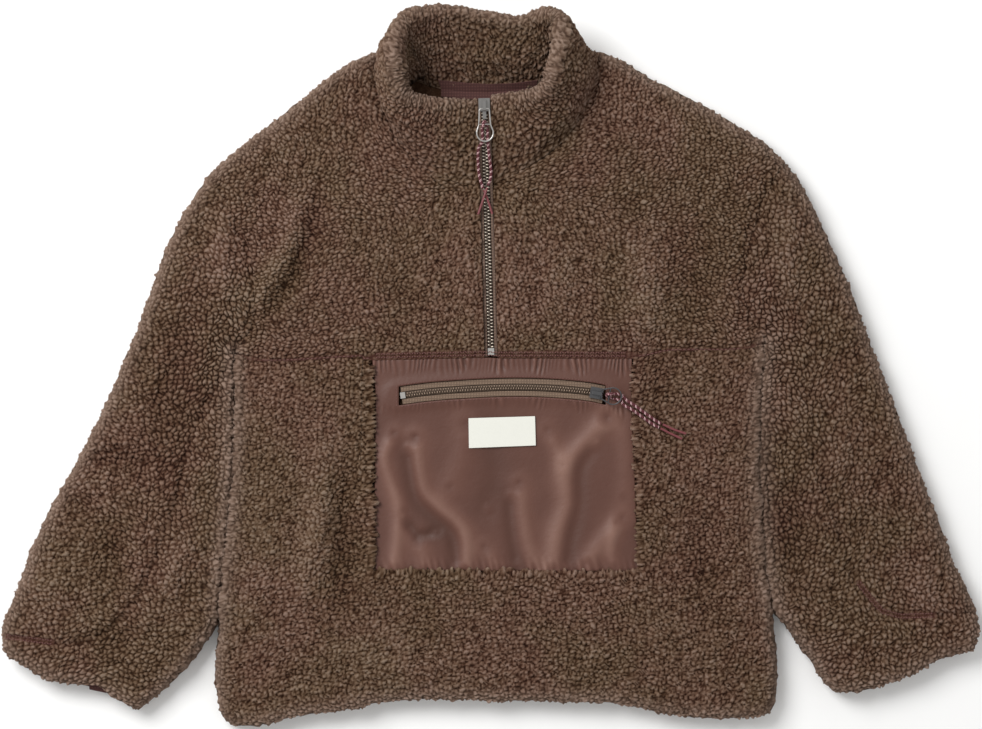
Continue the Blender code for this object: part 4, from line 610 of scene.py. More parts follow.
# Meshes

def grid_faces(rows, columns, first=0):
    n = (np.arange(rows * columns) + first).reshape(rows, columns)
    return np.stack((n[:-1, :-1], n[:-1, 1:], n[1:, 1:], n[1:, :-1]), axis=-1).reshape(-1, 4), n


def rim_walk(numbers):
    """A grid's border numbers, anticlockwise: bottom, right, top and left."""
    return numbers[0], numbers[:, -1], numbers[-1, ::-1], numbers[::-1, 0]


def mesh_piece(name, points, faces, finish, attributes=None):
    """A piece at the origin: points in millimetres, faces as arrays of point numbers."""
    mesh = bpy.data.meshes.new(name)
    placed = (np.asarray(points, float) + (*LAY_SHIFT, 0)) * MM
    mesh.vertices.add(len(placed))
    mesh.vertices.foreach_set("co", placed.astype(np.float32).ravel())
    loops = np.concatenate([f.ravel() for f in faces])
    sizes = np.concatenate([np.full(len(f), f.shape[1]) for f in faces])
    mesh.loops.add(len(loops))
    mesh.loops.foreach_set("vertex_index", loops.astype(np.int32))
    mesh.polygons.add(len(sizes))
    mesh.polygons.foreach_set("loop_start", np.concatenate(([0], np.cumsum(sizes)[:-1])).astype(np.int32))
    mesh.update(calc_edges=True)
    mesh.validate()
    mesh.shade_smooth()
    for label, values in (attributes or {}).items():
        mesh.attributes.new(label, "FLOAT", "POINT").data.foreach_set("value", values.astype(np.float32))
    mesh.materials.append(finish)
    piece = bpy.data.objects.new(name, mesh)
    bpy.context.scene.collection.objects.link(piece)
    return piece


def shell_parts(outside, inside, first, turned):
    """Points and faces of a closed shell: a fine outer grid, a coarser inner one, and its sides."""
    rows, columns = outside.shape[:2]
    outer, outer_n = grid_faces(rows, columns, first)
    inner, inner_n = grid_faces(*inside.shape[:2], first + rows * columns)
    sides = []
    for fine, coarse in zip(rim_walk(outer_n), rim_walk(inner_n)):
        starts = np.arange(len(coarse) - 1)
        fan = fine[starts[:, None] * UNDER_GRAIN + np.arange(UNDER_GRAIN, -1, -1)[None]]
        sides.append(np.hstack((fan, coarse[starts][:, None], coarse[starts + 1][:, None])))
    faces = [outer, inner[:, ::-1], np.vstack(sides)]
    if turned:
        faces = [f[:, ::-1] for f in faces]
    return np.vstack((outside.reshape(-1, 3), inside.reshape(-1, 3))), faces


def pile_height(places, curl, seed):
    """How high the pile stands on the cloth: curls, in clumps, on a slow swell; with rise and tint."""
    rise, tint = curls(places, curl, seed)
    height = CURL_FOOT + (CURL_CROWN - CURL_FOOT) * rise * (1 - TINT_RISE + TINT_RISE * tint)
    height = height + CLUMP * swell(places, CLUMP_WAVE, seed) + SWELL * swell(places, SWELL_WAVE, 2 * seed)
    return height, rise, tint


def pile_shell(plan, heights, upward, curl_and_seed, edges, band=None):
    """A pile layer's shell: the side that shows carries curls, raised along its own directions.

    Where band is 1 the pile is flattened, as by the rows of stitches beside a seam. None of the
    side that shows goes below the plane that the jacket rests on.
    """
    curl, seed = curl_and_seed
    top, under, drop = heights
    shown, hidden = (top, under) if upward else (under, top)
    surface = np.concatenate((plan, shown[..., None]), axis=-1)
    facing = facing_of(surface)
    turned = (facing[..., 2].mean() < 0) == upward
    if turned:
        facing = -facing
    level = facing[..., :2]
    steep = np.linalg.norm(level, axis=-1, keepdims=True)
    # Painted shade in fold troughs and seam dips and painted light on fold ridges, from the cloth's
    # relief; none on the back.
    fold_shade = np.clip((top + drop - FRONT_TOP) / FOLD_SHADE_DEPTH, -0.5, 0.5) if upward else np.zeros(top.shape)
    outward = np.where(steep > 0.3, level / np.maximum(steep, 1e-9), 0)
    height, rise, tint = pile_height(plan + outward * drop[..., None], curl, seed)
    band = np.zeros(rise.shape) if band is None else band
    # Near the edges the pile is lumpier, and the same mask paints rim light there in the finish.
    fuzz_and_rim_light = np.exp(-(nearest(plan, edges) / EDGE_FUZZ_AND_RIM_LIGHT) ** 2)
    height = height + EDGE_LUMP * fuzz_and_rim_light * swell(plan, EDGE_LUMP_WAVE, 3 * seed)
    fill = [name for name in edges if name in TOUCHING]
    if fill:
        height = height + TOUCH_FILL * touching(plan) * np.exp(-(nearest(plan, fill) / TOUCH_WIDTH) ** 2)
    height = height * (1 - band) + (BAND_PRESS + 0.5 * rise) * band
    fine = surface + facing * height[..., None]
    fine[..., 2] = np.maximum(fine[..., 2], 0.0)
    coarse = np.concatenate((plan, hidden[..., None]), axis=-1)[::UNDER_GRAIN, ::UNDER_GRAIN]
    # pile carries each curl's rise, which the sherpa finish turns into painted shade in the cracks and
    # painted highlight on the crowns.
    return fine, coarse, turned, {"pile": rise, "tint": tint, "fuzz_and_rim_light": fuzz_and_rim_light, "band": band, "fold_shade": fold_shade}


# What each mark is on a shell's hidden side
PLAIN_SIDE = {"pile": 0.4, "tint": 0.5, "fuzz_and_rim_light": 0.0, "band": 0.0, "fold_shade": 0.0}


def pile_piece(name, layers, finish):
    """One piece from its shells, with how high and what tint each point of its pile has."""
    points, faces, first = [], [], 0
    values = {label: [] for label in PLAIN_SIDE}
    for fine, coarse, turned, marks in layers:
        places, quads = shell_parts(fine, coarse, first, turned)
        points.append(places)
        faces += quads
        for label, plain in PLAIN_SIDE.items():
            values[label] += [marks[label].ravel(), np.full(coarse.shape[0] * coarse.shape[1], plain)]
        first += len(places)
    return mesh_piece(name, np.vstack(points), faces, finish,
                      {label: np.concatenate(parts) for label, parts in values.items()})


# Body panels

def armhole(side, offset, shares):
    return along(beside(LINES["armhole_" + side], offset), shares)


def underarm(side, above):
    """The corner at the underarm of the panel above (1) or below (-1) the cross seam."""
    inward, apart = UNDERARM_SPREAD
    return LINES["armhole_" + side][0] + (inward if side == "left" else -inward, above * apart)


def neck_zip_x(y):
    return np.interp(y, (NECK_ZIP_LOW[1], NECK_ZIP_HIGH[1]), (NECK_ZIP_LOW[0], NECK_ZIP_HIGH[0]))


def yoke_band(plan):
    """1 on the strip above the cross seam that its two rows of stitches flatten, widest at the pocket."""
    yoke = LINES["yoke"]
    above = plan[..., 1] - np.interp(plan[..., 0], yoke[:, 0], yoke[:, 1])
    wide = np.interp(plan[..., 0], *zip(*YOKE_BAND))
    return 1 / (1 + np.exp((above - wide) / 0.35))


def front_upper_plan(side):
    inset = SEAM_CLOSE
    yoke = beside(LINES["yoke"], inset)
    lengths = arc_lengths(yoke)
    sign = -1 if side == "left" else 1
    cut = np.interp(neck_zip_x(5) + sign * SLOT_HALF, yoke[:, 0], lengths) / lengths[-1]
    if side == "left":
        line = along(yoke, np.linspace(0, cut, 120))
        neck = beside(LINES["front_left"], inset)
    else:
        line = along(yoke, np.linspace(cut, 1, 120))
        neck = beside(LINES["front_right"], -inset)
    columns = graded(length_of(line), GRAIN, start=False, end=False)
    bottom = along(line, columns)
    shoulder = along(LINES["shoulder_" + side], columns)
    inner_foot = bottom[-1 if side == "left" else 0]
    zipped = np.vstack((along(np.vstack((inner_foot, neck[0])), np.linspace(0, 1, 30)), neck[1:]))
    rows = graded(length_of(zipped), GRAIN * 1.25, end=True)
    zipped = along(zipped, rows)
    arm = armhole(side, sign * inset, rows)
    left, right = (arm, zipped) if side == "left" else (zipped, arm)
    (left if side == "left" else right)[0] = underarm(side, 1)
    left[0], right[0] = (left[0], bottom[-1]) if side == "left" else (bottom[0], right[0])
    bottom[0], bottom[-1] = left[0], right[0]
    shoulder[0], shoulder[-1] = left[-1], right[-1]
    return coons(bottom, shoulder, left, right)


def build_front_upper(side, finish):
    """Half of the chest, with its curls in rows from side to side."""
    plan = front_upper_plan(side)
    heights = front_heights(plan, BODY_EDGES, ("hem",))
    layer = pile_shell(plan, heights, True, CURLS["front_upper"], BODY_EDGES, yoke_band(plan))
    return pile_piece("front_upper_" + side + "_pile", [layer], finish)


def pocket_depth(points):
    """How far inside the pocket's outline a point lies, and below 0 outside it."""
    x, y = points[..., 0], points[..., 1]
    left = np.interp(-y, [-p[1] for p in POCKET_LEFT], [p[0] for p in POCKET_LEFT])
    right = np.interp(-y, [-p[1] for p in POCKET_RIGHT], [p[0] for p in POCKET_RIGHT])
    low = np.interp(x, *zip(POCKET_LEFT[-1], POCKET_RIGHT[-1]))
    return np.minimum(np.minimum(x - left, right - x), y - low)


def build_front_lower(finish):
    """The belly panel, with the low place under the pocket."""
    inset = SEAM_CLOSE
    columns = graded(length_of(LINES["hem"]), GRAIN * 1.14, start=True, end=True)
    rows = graded(length_of(LINES["side_left"]), GRAIN * 1.14, start=True)
    hem = along(LINES["hem"], columns)
    yoke = along(beside(LINES["yoke"], -inset), columns)
    left, right = along(LINES["side_left"], rows), along(LINES["side_right"], rows)
    left[-1], right[-1] = underarm("left", -1), underarm("right", -1)
    yoke[0], yoke[-1] = left[-1], right[-1]
    plan = coons(hem, yoke, left, right)
    top, under, drop = front_heights(plan, BODY_EDGES, ("hem",))
    inside = pocket_depth(plan)
    deep = np.clip(inside / 1.2 + 0.5, 0, 1)
    top = top * (1 - deep) + POCKET_LOW_TOP * deep
    under = np.where(deep > 0.02, np.minimum(under, POCKET_LOW_TOP - POCKET_LOW_WALL), under)
    fine, coarse, turned, marks = pile_shell(plan, (top, under, drop * (deep < 0.01)), True,
                                             CURLS["front_lower"], BODY_EDGES + ("hem",))
    fine = over_pocket(fine, plan, inside, marks["pile"])
    fine[..., 2] = np.where(inside > 1.4, POCKET_LOW_TOP - 0.2, fine[..., 2])
    return pile_piece("front_lower_pile", [(fine, coarse, turned, marks)], finish)


def over_pocket(fine, plan, inside, rise):
    """The pile round the pocket leans in over the satin's edge, curl by curl."""
    lean = np.exp(-((inside + 1.0) / 1.6) ** 2) * (inside < 0.7) * (plan[..., 1] < 0)
    slope = np.stack(np.gradient(inside), axis=-1)
    across = np.gradient(plan[..., 0], axis=1)
    up = np.gradient(plan[..., 1], axis=0)
    way = unit(np.stack((slope[..., 1] / across, slope[..., 0] / up), axis=-1))
    fine[..., :2] += way * (lean * (LEAN * (0.35 + rise)))[..., None]
    fine[..., 2] += 0.35 * lean
    return fine


def build_back(finish):
    """The back panel, whose pile shows along its rounded edges."""
    inset = SEAM_CLOSE
    shoulder_left, shoulder_right = LINES["shoulder_left"], LINES["shoulder_right"]
    neck = beside(LINES["back"], -inset)
    top_line = np.vstack((shoulder_left[:-1], neck, shoulder_right[1:]))
    left_line = np.vstack((LINES["side_left"][:-1], [underarm("left", 0)],
                           beside(LINES["armhole_left"], -inset)[1:]))
    right_line = np.vstack((LINES["side_right"][:-1], [underarm("right", 0)],
                            beside(LINES["armhole_right"], inset)[1:]))
    columns = graded(length_of(LINES["hem"]), BACK_GRAIN, start=True, end=True)
    rows = graded(length_of(left_line), BACK_GRAIN, start=True, end=True)
    bottom, top = along(LINES["hem"], columns), along(top_line, columns)
    left, right = along(left_line, rows), along(right_line, rows)
    top[0], top[-1] = left[-1], right[-1]
    plan = coons(bottom, top, left, right)
    heights = back_heights(plan, BODY_EDGES, ("hem",))
    layer = pile_shell(plan, heights, False, CURLS["back"], BODY_EDGES + ("hem",))
    return pile_piece("back_pile", [layer], finish)


# Sleeves

SLEEVE_OUTER_STEPS = (0, 0.045, 0.10, 0.155, 0.21, 0.27, 0.33, 0.39, 0.455, 0.52, 0.58, 0.64, 0.70,
                      0.765, 0.835, 0.90, 0.955, 0.985, 1)
SLEEVE_INNER_STEPS = (0, 0.012, 0.03, 0.055, 0.09, 0.14, 0.20, 0.27, 0.35, 0.43, 0.51, 0.59, 0.67,
                      0.75, 0.83, 0.90, 0.955, 0.985, 1)


def sleeve_plan(side, step):
    """Stations from armhole to cuff: chords between the edges, bent like the one, then the other."""
    sign = 1 if side == "left" else -1
    arm_line = beside(LINES["armhole_" + side], sign * SEAM_CLOSE)[::-1]
    across_shares = graded(length_of(arm_line), step, start=True, end=True)
    arm = along(arm_line, across_shares)
    cuff = along(LINES["cuff_" + side], across_shares)
    run = graded(length_of(LINES[f"sleeve_{side}_outer"]), step, end=True)
    inner_run = np.interp(run, SLEEVE_OUTER_STEPS, SLEEVE_INNER_STEPS)
    outer = along(LINES[f"sleeve_{side}_outer"], run)
    inner = along(LINES[f"sleeve_{side}_inner"], inner_run)
    outer[0], inner[0] = arm[0], arm[-1]
    u = (arc_lengths(arm) / length_of(arm))[None, :, None]
    w = (arc_lengths(cuff) / length_of(cuff))[None, :, None]
    v = run[:, None, None] * (1 - u) + inner_run[:, None, None] * u
    across = u * (1 - v) + w * v
    chords = outer[:, None] * (1 - across) + inner[:, None] * across
    arm_bend = arm[None] - (arm[0] * (1 - u) + arm[-1] * u)
    cuff_bend = cuff[None] - (cuff[0] * (1 - w) + cuff[-1] * w)
    return chords + arm_bend * (1 - v) ** (1.6 + UNDERARM_FADE * u ** 6) + cuff_bend * v ** 2


def build_sleeve(side, finish):
    """Both layers of a sleeve, which meet along its two edges."""
    edges = (f"sleeve_{side}_outer", f"sleeve_{side}_inner")
    ends = ("cuff_" + side,)
    upper = sleeve_plan(side, GRAIN)
    lower = sleeve_plan(side, BACK_GRAIN)
    if side == "left":
        centre, way, reach, width = CUFF_NOTCH
        near = np.exp(-(np.linalg.norm(upper - centre, axis=-1, keepdims=True) / width) ** 2)
        upper = upper + reach * np.array(way) * near
    stitched = np.minimum.reduce([distance(upper, np.array(line)) for line in CUFF_STITCHES])
    band = np.exp(-(stitched / CUFF_BAND) ** 4)
    front, back = front_heights(upper, edges, ends), back_heights(lower, edges, ends)
    layers = [pile_shell(upper, front, True, CURLS["sleeve_front"], edges + ends, band),
              pile_shell(lower, back, False, CURLS["sleeve_back"], edges + ends)]
    return pile_piece("sleeve_" + side + "_pile", layers, finish)


# Collar

def outward_normals(surface, turns):
    """Unit normals away from the neck opening, square to each rib and to the direction round it.

    Round the back that direction is the rim's, since the seam doubles back at its two corners.
    """
    by_rim = np.clip((np.minimum(turns, 3 - turns) - RIM_FROM) / RIM_BLEND, 0, 1)[:, None, None]
    around = (unit(np.gradient(surface, axis=0)) * (1 - by_rim)
              + unit(np.gradient(surface[:, -1:], axis=0)) * by_rim)
    return unit(np.cross(np.gradient(surface, axis=1), around))


def collar_grid():
    """The collar as ribs by points round its section, from the outer foot over the rim to the heel."""
    inset = SEAM_CLOSE
    left_line, back_line = beside(LINES["front_left"], -inset), beside(LINES["back"], inset)
    right_line = beside(LINES["front_right"], inset)
    counts = [int(length_of(line) / GRAIN) for line in (left_line, back_line, right_line)]
    shares = [np.linspace(0, 1, count + 1) for count in counts]
    left, back, right = (along(line, s) for line, s in zip((left_line, back_line, right_line), shares))
    places = np.vstack((left, back[1:-1], right[::-1]))
    turns = np.concatenate((shares[0], 1 + shares[1][1:-1], 3 - shares[2][::-1]))
    is_back = (turns > 1) & (turns < 2)
    front_top, front_under = front_heights(places, BODY_EDGES, ("hem",))[:2]
    back_top, back_under = back_heights(places, BODY_EDGES, ("hem",))[:2]
    outer_z = np.where(is_back, back_under, front_top)
    heel_z = np.where(is_back, back_top + PART_GAP, front_under)
    for tip in (len(left) - 1, len(left) + len(back) - 2):
        outer_z[tip], heel_z[tip] = MID_PLANE, MID_PLANE
    rib_places = np.array([NECK_TURNS[line][0] + NECK_TURNS[line][1] * share
                           for line, share, *_ in COLLAR_RIBS])
    table, place = smooth([row[2:] for row in COLLAR_RIBS]), smooth(rib_places[:, None])[:, 0]
    columns = np.stack([np.interp(turns, place, table[:, k]) for k in range(6)], axis=1)
    rim, bow, foot, thick_at = columns[:, :3], columns[:, 3], columns[:, 4], columns[:, 5, None, None]
    inward = unit(np.array(COLLAR_CENTRE) - places)
    outer_foot = np.column_stack((places, outer_z))
    heel = np.column_stack((places, heel_z))
    foot_z = np.maximum(heel_z, BACK_TOP + PART_GAP) + 0.45
    inner_foot = np.column_stack((places + inward * foot[:, None], foot_z))
    near_foot = np.column_stack((places + inward * np.minimum(foot, NEAR_FOOT)[:, None], foot_z))
    levels = np.linspace(0, 1, WALL_STEPS)[None, :, None]
    ruled = ((outer_foot + near_foot) / 2)[:, None] * (1 - levels) + rim[:, None] * levels
    middle = ruled + outward_normals(ruled, turns) * (bow[:, None, None] * 4 * levels * (1 - levels))
    normal = outward_normals(middle, turns)
    normal[(0, -1), :, 0] = 0
    normal = unit(normal)
    thick = COLLAR_FOOT + (thick_at - COLLAR_FOOT) * np.clip(levels / WALL_GROWTH, 0, 1)
    outer, inner = middle + normal * thick / 2, middle - normal * thick / 2
    inner = inner + (inner_foot - near_foot)[:, None] * (1 - levels) ** FOOT_FLARE
    outer[:, 0], inner[:, 0] = outer_foot, inner_foot
    upward = unit(middle[:, -1] - middle[:, -2])[:, None]
    angles = np.linspace(0, math.pi, RIM_STEPS)[1:-1, None]
    half = thick_at / 2
    cap = middle[:, -1:] + half * (np.cos(angles) * normal[:, -1:] + np.sin(angles) * upward)
    return np.concatenate((outer, cap, inner[:, ::-1], heel[:, None]), axis=1)


def tube_faces(rows, size, first=0):
    """Quads of a tube of closed rings, and its two end faces."""
    n = (np.arange(rows * size) + first).reshape(rows, size)
    m = np.roll(n, -1, axis=1)
    quads = np.stack((n[:-1], m[:-1], m[1:], n[1:]), axis=-1).reshape(-1, 4)
    return [quads, n[:1, ::-1], n[-1:]]


def build_collar(finish):
    """The stand collar with curls over its outside, rim and inside."""
    base = collar_grid()
    ribs, size = base.shape[:2]
    ring = np.concatenate((base[:, -1:], base, base[:, :1]), axis=1)
    facing = facing_of(ring)[:, 1:-1]
    outward = base[:, MID_WALL] - base[:, -MID_WALL - 2]
    flip = (facing[:, MID_WALL] * outward).sum() < 0
    facing = -facing if flip else facing
    down = np.concatenate((np.zeros((ribs, 1)), np.cumsum(np.linalg.norm(np.diff(base, axis=1), axis=2),
                                                          axis=1)), axis=1)
    round_by = arc_lengths(base[:, UPPER_WALL])[:, None] * np.ones((1, size))
    height, rise, tint = pile_height(np.stack((round_by, down), axis=-1), *CURLS["collar"])
    ends = np.minimum(np.arange(ribs), np.arange(ribs)[::-1])[:, None] * GRAIN
    foot = (np.exp(-((down[:, -2:-1] - down) / COLLAR_FOOT_FADE) ** 2)
            + np.exp(-(ends / COLLAR_END_FADE) ** 2))
    foot[:, -1] = 1
    height = height * (1 - np.clip(foot, 0, 1))
    height[:, :2] = np.maximum(height[:, :2], 0.3)
    rim_at = down[:, WALL_STEPS:WALL_STEPS + 1]
    strong, past, wide = COLLAR_RIM_LIGHT
    # Painted rim light: the collar's pile is paler just past its rim.
    fuzz_and_rim_light = strong * np.exp(-((down - rim_at - past) / wide) ** 2)
    points = base + facing * height[..., None]
    faces = tube_faces(ribs, size)
    if not flip:
        faces = [f[:, ::-1] for f in faces]
    return mesh_piece("collar_pile", points.reshape(-1, 3), faces, finish,
                      {"pile": rise.ravel(), "tint": tint.ravel(), "fuzz_and_rim_light": fuzz_and_rim_light.ravel(),
                       "band": np.zeros(rise.size), "fold_shade": np.full(rise.size, 0.06)})


# Pocket

def pucker_relief(points):
    """Small gathers: rows below the two seams, and a row that the pocket's bottom edge draws up."""
    x, y = points[..., 0], points[..., 1]
    total = np.zeros(x.shape)
    for name, start, end, spacing, height in SATIN_PUCKERS:
        line = LINES[name]
        below = np.interp(x, line[:, 0], line[:, 1]) - y
        reach = end * (0.78 + 0.22 * np.sin(x / 3.3) * np.sin(x / 8.9))
        window = np.clip((below - start) / 2, 0, 1) * np.clip((reach - below) / 6, 0, 1)
        wander = 0.9 * np.sin(x / 7.3 + below / 9) + 0.6 * np.sin(x / 3.9 + 1.0)
        wave = np.sin(2 * np.pi * x / spacing + 3 * wander)
        total += height * window * wave * (0.6 + 0.4 * np.sin(x / 4.7))
    low = y - GATHER_FOOT
    window = np.clip(1 - low / GATHER_TOP, 0, 1)
    wave = np.sin(2 * np.pi * (x + 0.25 * low) / GATHER_WAVE + 1.6 * np.sin(x / 8.0))
    return total + GATHER_HEIGHT * window * wave * (0.6 + 0.4 * np.sin(x / 6.1 + 2))


def satin_top(points):
    """The satin's top: nearly level, with its folds and gathers, and a lip along the slot."""
    away = np.maximum(distance(points, LINES["pocket_zip"]) - POCKET_SLOT_HALF, 0)
    lip = SLOT_LIP * np.exp(-(away / SLOT_LIP_WIDTH) ** 2)
    folds = ridge_relief(points, SATIN_FOLDS) + pucker_relief(points)
    return np.maximum(SATIN_TOP + folds, SATIN_LEAST_TOP) + lip


def satin_plan():
    """Columns of satin points: below the slot, at its two edges and above it; and the slot's cells."""
    left = beside(LINES["pocket_left"][::-1], -SATIN_MARGIN)
    right = beside(LINES["pocket_right"][::-1], SATIN_MARGIN)
    slot_low = beside(LINES["pocket_zip"], -POCKET_SLOT_HALF)
    slot_high = beside(LINES["pocket_zip"], POCKET_SLOT_HALF)
    ends = slot_low[0, 0], slot_low[-1, 0]
    widths = (ends[0] - left[0, 0], ends[1] - ends[0], right[0, 0] - ends[1])
    counts = [UNDER_GRAIN * max(1, int(w / SATIN_GRAIN / UNDER_GRAIN)) for w in widths]
    across = np.concatenate([np.linspace(k, k + 1, count, endpoint=False)
                             for k, count in enumerate(counts)] + [[3.0]])
    up_counts = (SATIN_ROWS_BELOW, UNDER_GRAIN, SATIN_ROWS_ABOVE)
    up = np.concatenate([np.linspace(k, k + 1, count, endpoint=False)
                         for k, count in enumerate(up_counts)] + [[3.0]])
    knots = (0, 1, 2, 3)
    at_slot = np.interp(across, knots, (left[0, 0] + 0.6, *ends, right[-1, 0]))
    x_low = np.interp(across, knots, (left[0, 0], *ends, right[0, 0]))
    x_high = np.interp(across, knots, (left[-1, 0], *ends, right[-1, 0]))
    bottom = np.interp(across, (0, 3), (left[0, 1], right[0, 1])) + SATIN_MARGIN
    low = np.interp(at_slot, slot_low[:, 0], slot_low[:, 1])
    high = np.interp(at_slot, slot_high[:, 0], slot_high[:, 1])
    yoke = LINES["yoke"]
    top = np.interp(x_high, yoke[:, 0], yoke[:, 1]) - 0.1
    y = np.stack([np.interp(up, knots, row) for row in zip(bottom, low, high, top)], axis=1)
    x = np.stack([np.interp(up, knots, row) for row in zip(x_low, at_slot, at_slot, x_high)], axis=1)
    slot = (up_counts[0], up_counts[0] + up_counts[1], counts[0], counts[0] + counts[1])
    return np.stack((x, y), axis=-1), slot


def build_pocket(finish):
    """The satin pouch round the slot for its zip."""
    plan, (row0, row1, col0, col1) = satin_plan()
    top = satin_top(plan)
    rows, columns = top.shape
    high = np.concatenate((plan, top[..., None]), axis=-1)
    low = high - (0, 0, SATIN)
    quads, n = grid_faces(rows, columns)
    keep = np.ones((rows - 1, columns - 1), bool)
    keep[row0:row1, col0:col1] = False
    quads = quads[keep.ravel()]
    count = rows * columns
    hole = n[row0:row1 + 1, col0:col1 + 1]
    borders = [np.stack((walk[1:], walk[:-1]), axis=1) for walk in rim_walk(n)]
    borders += [np.stack((walk[:-1], walk[1:]), axis=1) for walk in rim_walk(hole)]
    edge = np.vstack(borders)
    sides = np.stack((edge[:, 0], edge[:, 1], edge[:, 1] + count, edge[:, 0] + count), axis=1)
    used = np.zeros(count, bool)
    used[quads.ravel()] = True
    number = np.cumsum(np.concatenate((used, used))) - 1
    points = np.vstack((high.reshape(-1, 3), low.reshape(-1, 3)))[np.concatenate((used, used))]
    faces = [number[quads], number[quads[:, ::-1] + count], number[sides]]
    # Painted highlight and shade: the satin is paler on its fold ridges and gathers and darker in their
    # valleys.
    shine = (ridge_relief(plan, SATIN_FOLDS, 1.35) + 1.6 * pucker_relief(plan)).ravel()
    shine = np.concatenate((shine, shine))[np.concatenate((used, used))]
    return mesh_piece("pocket_satin", points, faces, finish, {"shine": shine})


# Zips

def neck_zip_path():
    heights = np.array(NECK_ZIP_HEIGHTS)
    y = np.linspace(NECK_ZIP_LOW[1] + 0.6, NECK_ZIP_HIGH[1] - 1.5, 60)
    return np.column_stack((neck_zip_x(y), y, np.interp(y, heights[:, 0], heights[:, 1])))


def pocket_zip_path():
    line = along(LINES["pocket_zip"], np.linspace(0.008, 0.992, 60))
    return np.column_stack((line, np.full(len(line), POCKET_ZIP_HEIGHT)))


# A tooth's rings: how far across, as a share of its width, and half their size, of the pitch
TOOTH_RINGS = ((-0.15, 0.16), (0.35, 0.24), (0.5, 0.3), (1.0, 0.26))
TOOTH_FLAT = 0.35
# A stitch's rings: share of its length, size and how deep they are sunk, of its radius
STITCH_RINGS = ((0.0, 0.55, -0.9), (0.22, 1.0, 0.0), (0.78, 1.0, 0.0), (1.0, 0.55, -0.9))
SIXTHS = np.arange(6) * math.pi / 3


def build_bars(name, rings, flipped, finish):
    """Six-sided bars through four rings each, given point by point; flipped bars face the other way."""
    k = np.arange(6)
    after = (k + 1) % 6
    quads = np.vstack([np.stack((k, after, 6 + after, 6 + k), axis=1) + 6 * ring for ring in range(3)])
    first = np.arange(len(flipped))[:, None, None] * len(rings)
    faces = [quads[None] + first, np.array([k[::-1], k + len(rings) - 6])[None] + first]
    for group in faces:
        group[flipped] = group[flipped][:, :, ::-1]
    points = np.stack(rings, axis=1).reshape(-1, 3)
    return mesh_piece(name, points, [group.reshape(-1, group.shape[2]) for group in faces], finish)


def build_teeth(name, path, start, end, pitch, wide, finish):
    """Interlocked teeth: six-sided bars across the path, by turns from its left and right."""
    line = along(path, np.linspace(start, end, 400))
    count = int(length_of(line) / (pitch / 2))
    shares = (np.arange(count) + 0.5) / count
    centre = along(line, shares)
    ahead = unit(along(line, np.clip(shares + 0.002, 0, 1)) - along(line, np.clip(shares - 0.002, 0, 1)))
    across = unit(np.stack((ahead[:, 1], -ahead[:, 0], np.zeros(count)), axis=1))
    out = np.cross(across, ahead)
    side = np.where(np.arange(count) % 2 == 0, 1.0, -1.0)[:, None]
    rings = [centre + side * across * reach * wide + ahead * half * pitch * math.cos(turn)
             + out * (TOOTH_FLAT + half * wide * 0.4) * math.sin(turn)
             for reach, half in TOOTH_RINGS for turn in SIXTHS]
    return build_bars(name, rings, side[:, 0] < 0, finish)


def build_bed(name, path, start, end, finish):
    """The woven strip that the teeth are fixed to, under their middle."""
    line = along(path, np.linspace(start, end, 160))
    ahead = unit(np.gradient(line, axis=0))
    across = unit(np.stack((ahead[:, 1], -ahead[:, 0], np.zeros(len(line))), axis=1))
    rings = [line + across * side * BED_HALF + (0, 0, level) for side, level in BED_CORNERS]
    points = np.stack(rings, axis=1)
    return mesh_piece(name, points.reshape(-1, 3), tube_faces(len(line), 4), finish)


# Stitches

def stitch_row(line, offset, pitch, zigzag, height_at):
    """The two ends of each stitch of a row beside a line; a zigzag's ends lie to either side by turns."""
    route = beside(line, offset)
    count = int(length_of(route) / pitch)
    starts = along(route, (np.arange(count) + 0.14) / count)
    ends = along(route, (np.arange(count) + 0.86) / count)
    ahead = unit(ends - starts)
    aside = np.stack((-ahead[:, 1], ahead[:, 0]), axis=1) * zigzag
    aside *= np.where(np.arange(count) % 2 == 0, 1.0, -1.0)[:, None]
    starts, ends = starts - aside, ends + aside
    return np.stack([np.column_stack((side, height_at(side))) for side in (starts, ends)], axis=1)


def build_stitches(name, rows, radius, finish):
    """Short rounded threads, each sunk at its ends where the needle went through."""
    pairs = np.vstack(rows)
    start, end = pairs[:, 0], pairs[:, 1]
    ahead = unit(end - start)
    side = unit(np.cross(ahead, (0.0, 0.0, 1.0)))
    up = np.cross(side, ahead)
    rings = [start * (1 - share) + end * share + up * sink * radius
             + radius * size * (side * math.cos(turn) + up * math.sin(turn))
             for share, size, sink in STITCH_RINGS for turn in SIXTHS]
    return build_bars(name, rings, np.ones(len(pairs), bool), finish)


def seam_stitches(finish):
    """The rows above the cross seam and along each cuff."""
    def band_height(places):
        return front_heights(places, BODY_EDGES, ("hem",))[0] + BAND_PRESS + 0.75

    def cuff_height(places):
        return cloth_top(places) + BAND_PRESS + 0.6

    yoke = along(LINES["yoke"], np.linspace(0, 1, 900))
    rows = [stitch_row(yoke[(yoke[:, 0] > low) & (yoke[:, 0] < high)], *row, band_height)
            for low, high, *row in YOKE_STITCHES]
    for points in CUFF_STITCHES:
        line = along(np.array(points), np.linspace(0, 1, 60))
        rows += [stitch_row(line, side * 1.3, 2.0, 0.35, cuff_height) for side in (-1, 1)]
    return build_stitches("seam_stitches", rows, 0.34, finish)


def slot_stitches(finish):
    """The row round the pocket zip's slot."""
    def satin_height(places):
        return satin_top(places) + 0.12

    line = along(LINES["pocket_zip"], np.linspace(0.01, 0.99, 400))
    away = POCKET_SLOT_HALF + 1.1
    rows = [stitch_row(line, side * away, 2.3, 0.0, satin_height) for side in (-1, 1)]
    for at in (line[0] - (2.2, 0), line[-1] + (2.6, 0)):
        upright = np.column_stack((np.full(40, at[0]), np.linspace(at[1] - away, at[1] + away, 40)))
        rows.append(stitch_row(upright, 0.0, 2.3, 0.0, satin_height))
    return build_stitches("slot_stitches", rows, 0.24, finish)


# Cords

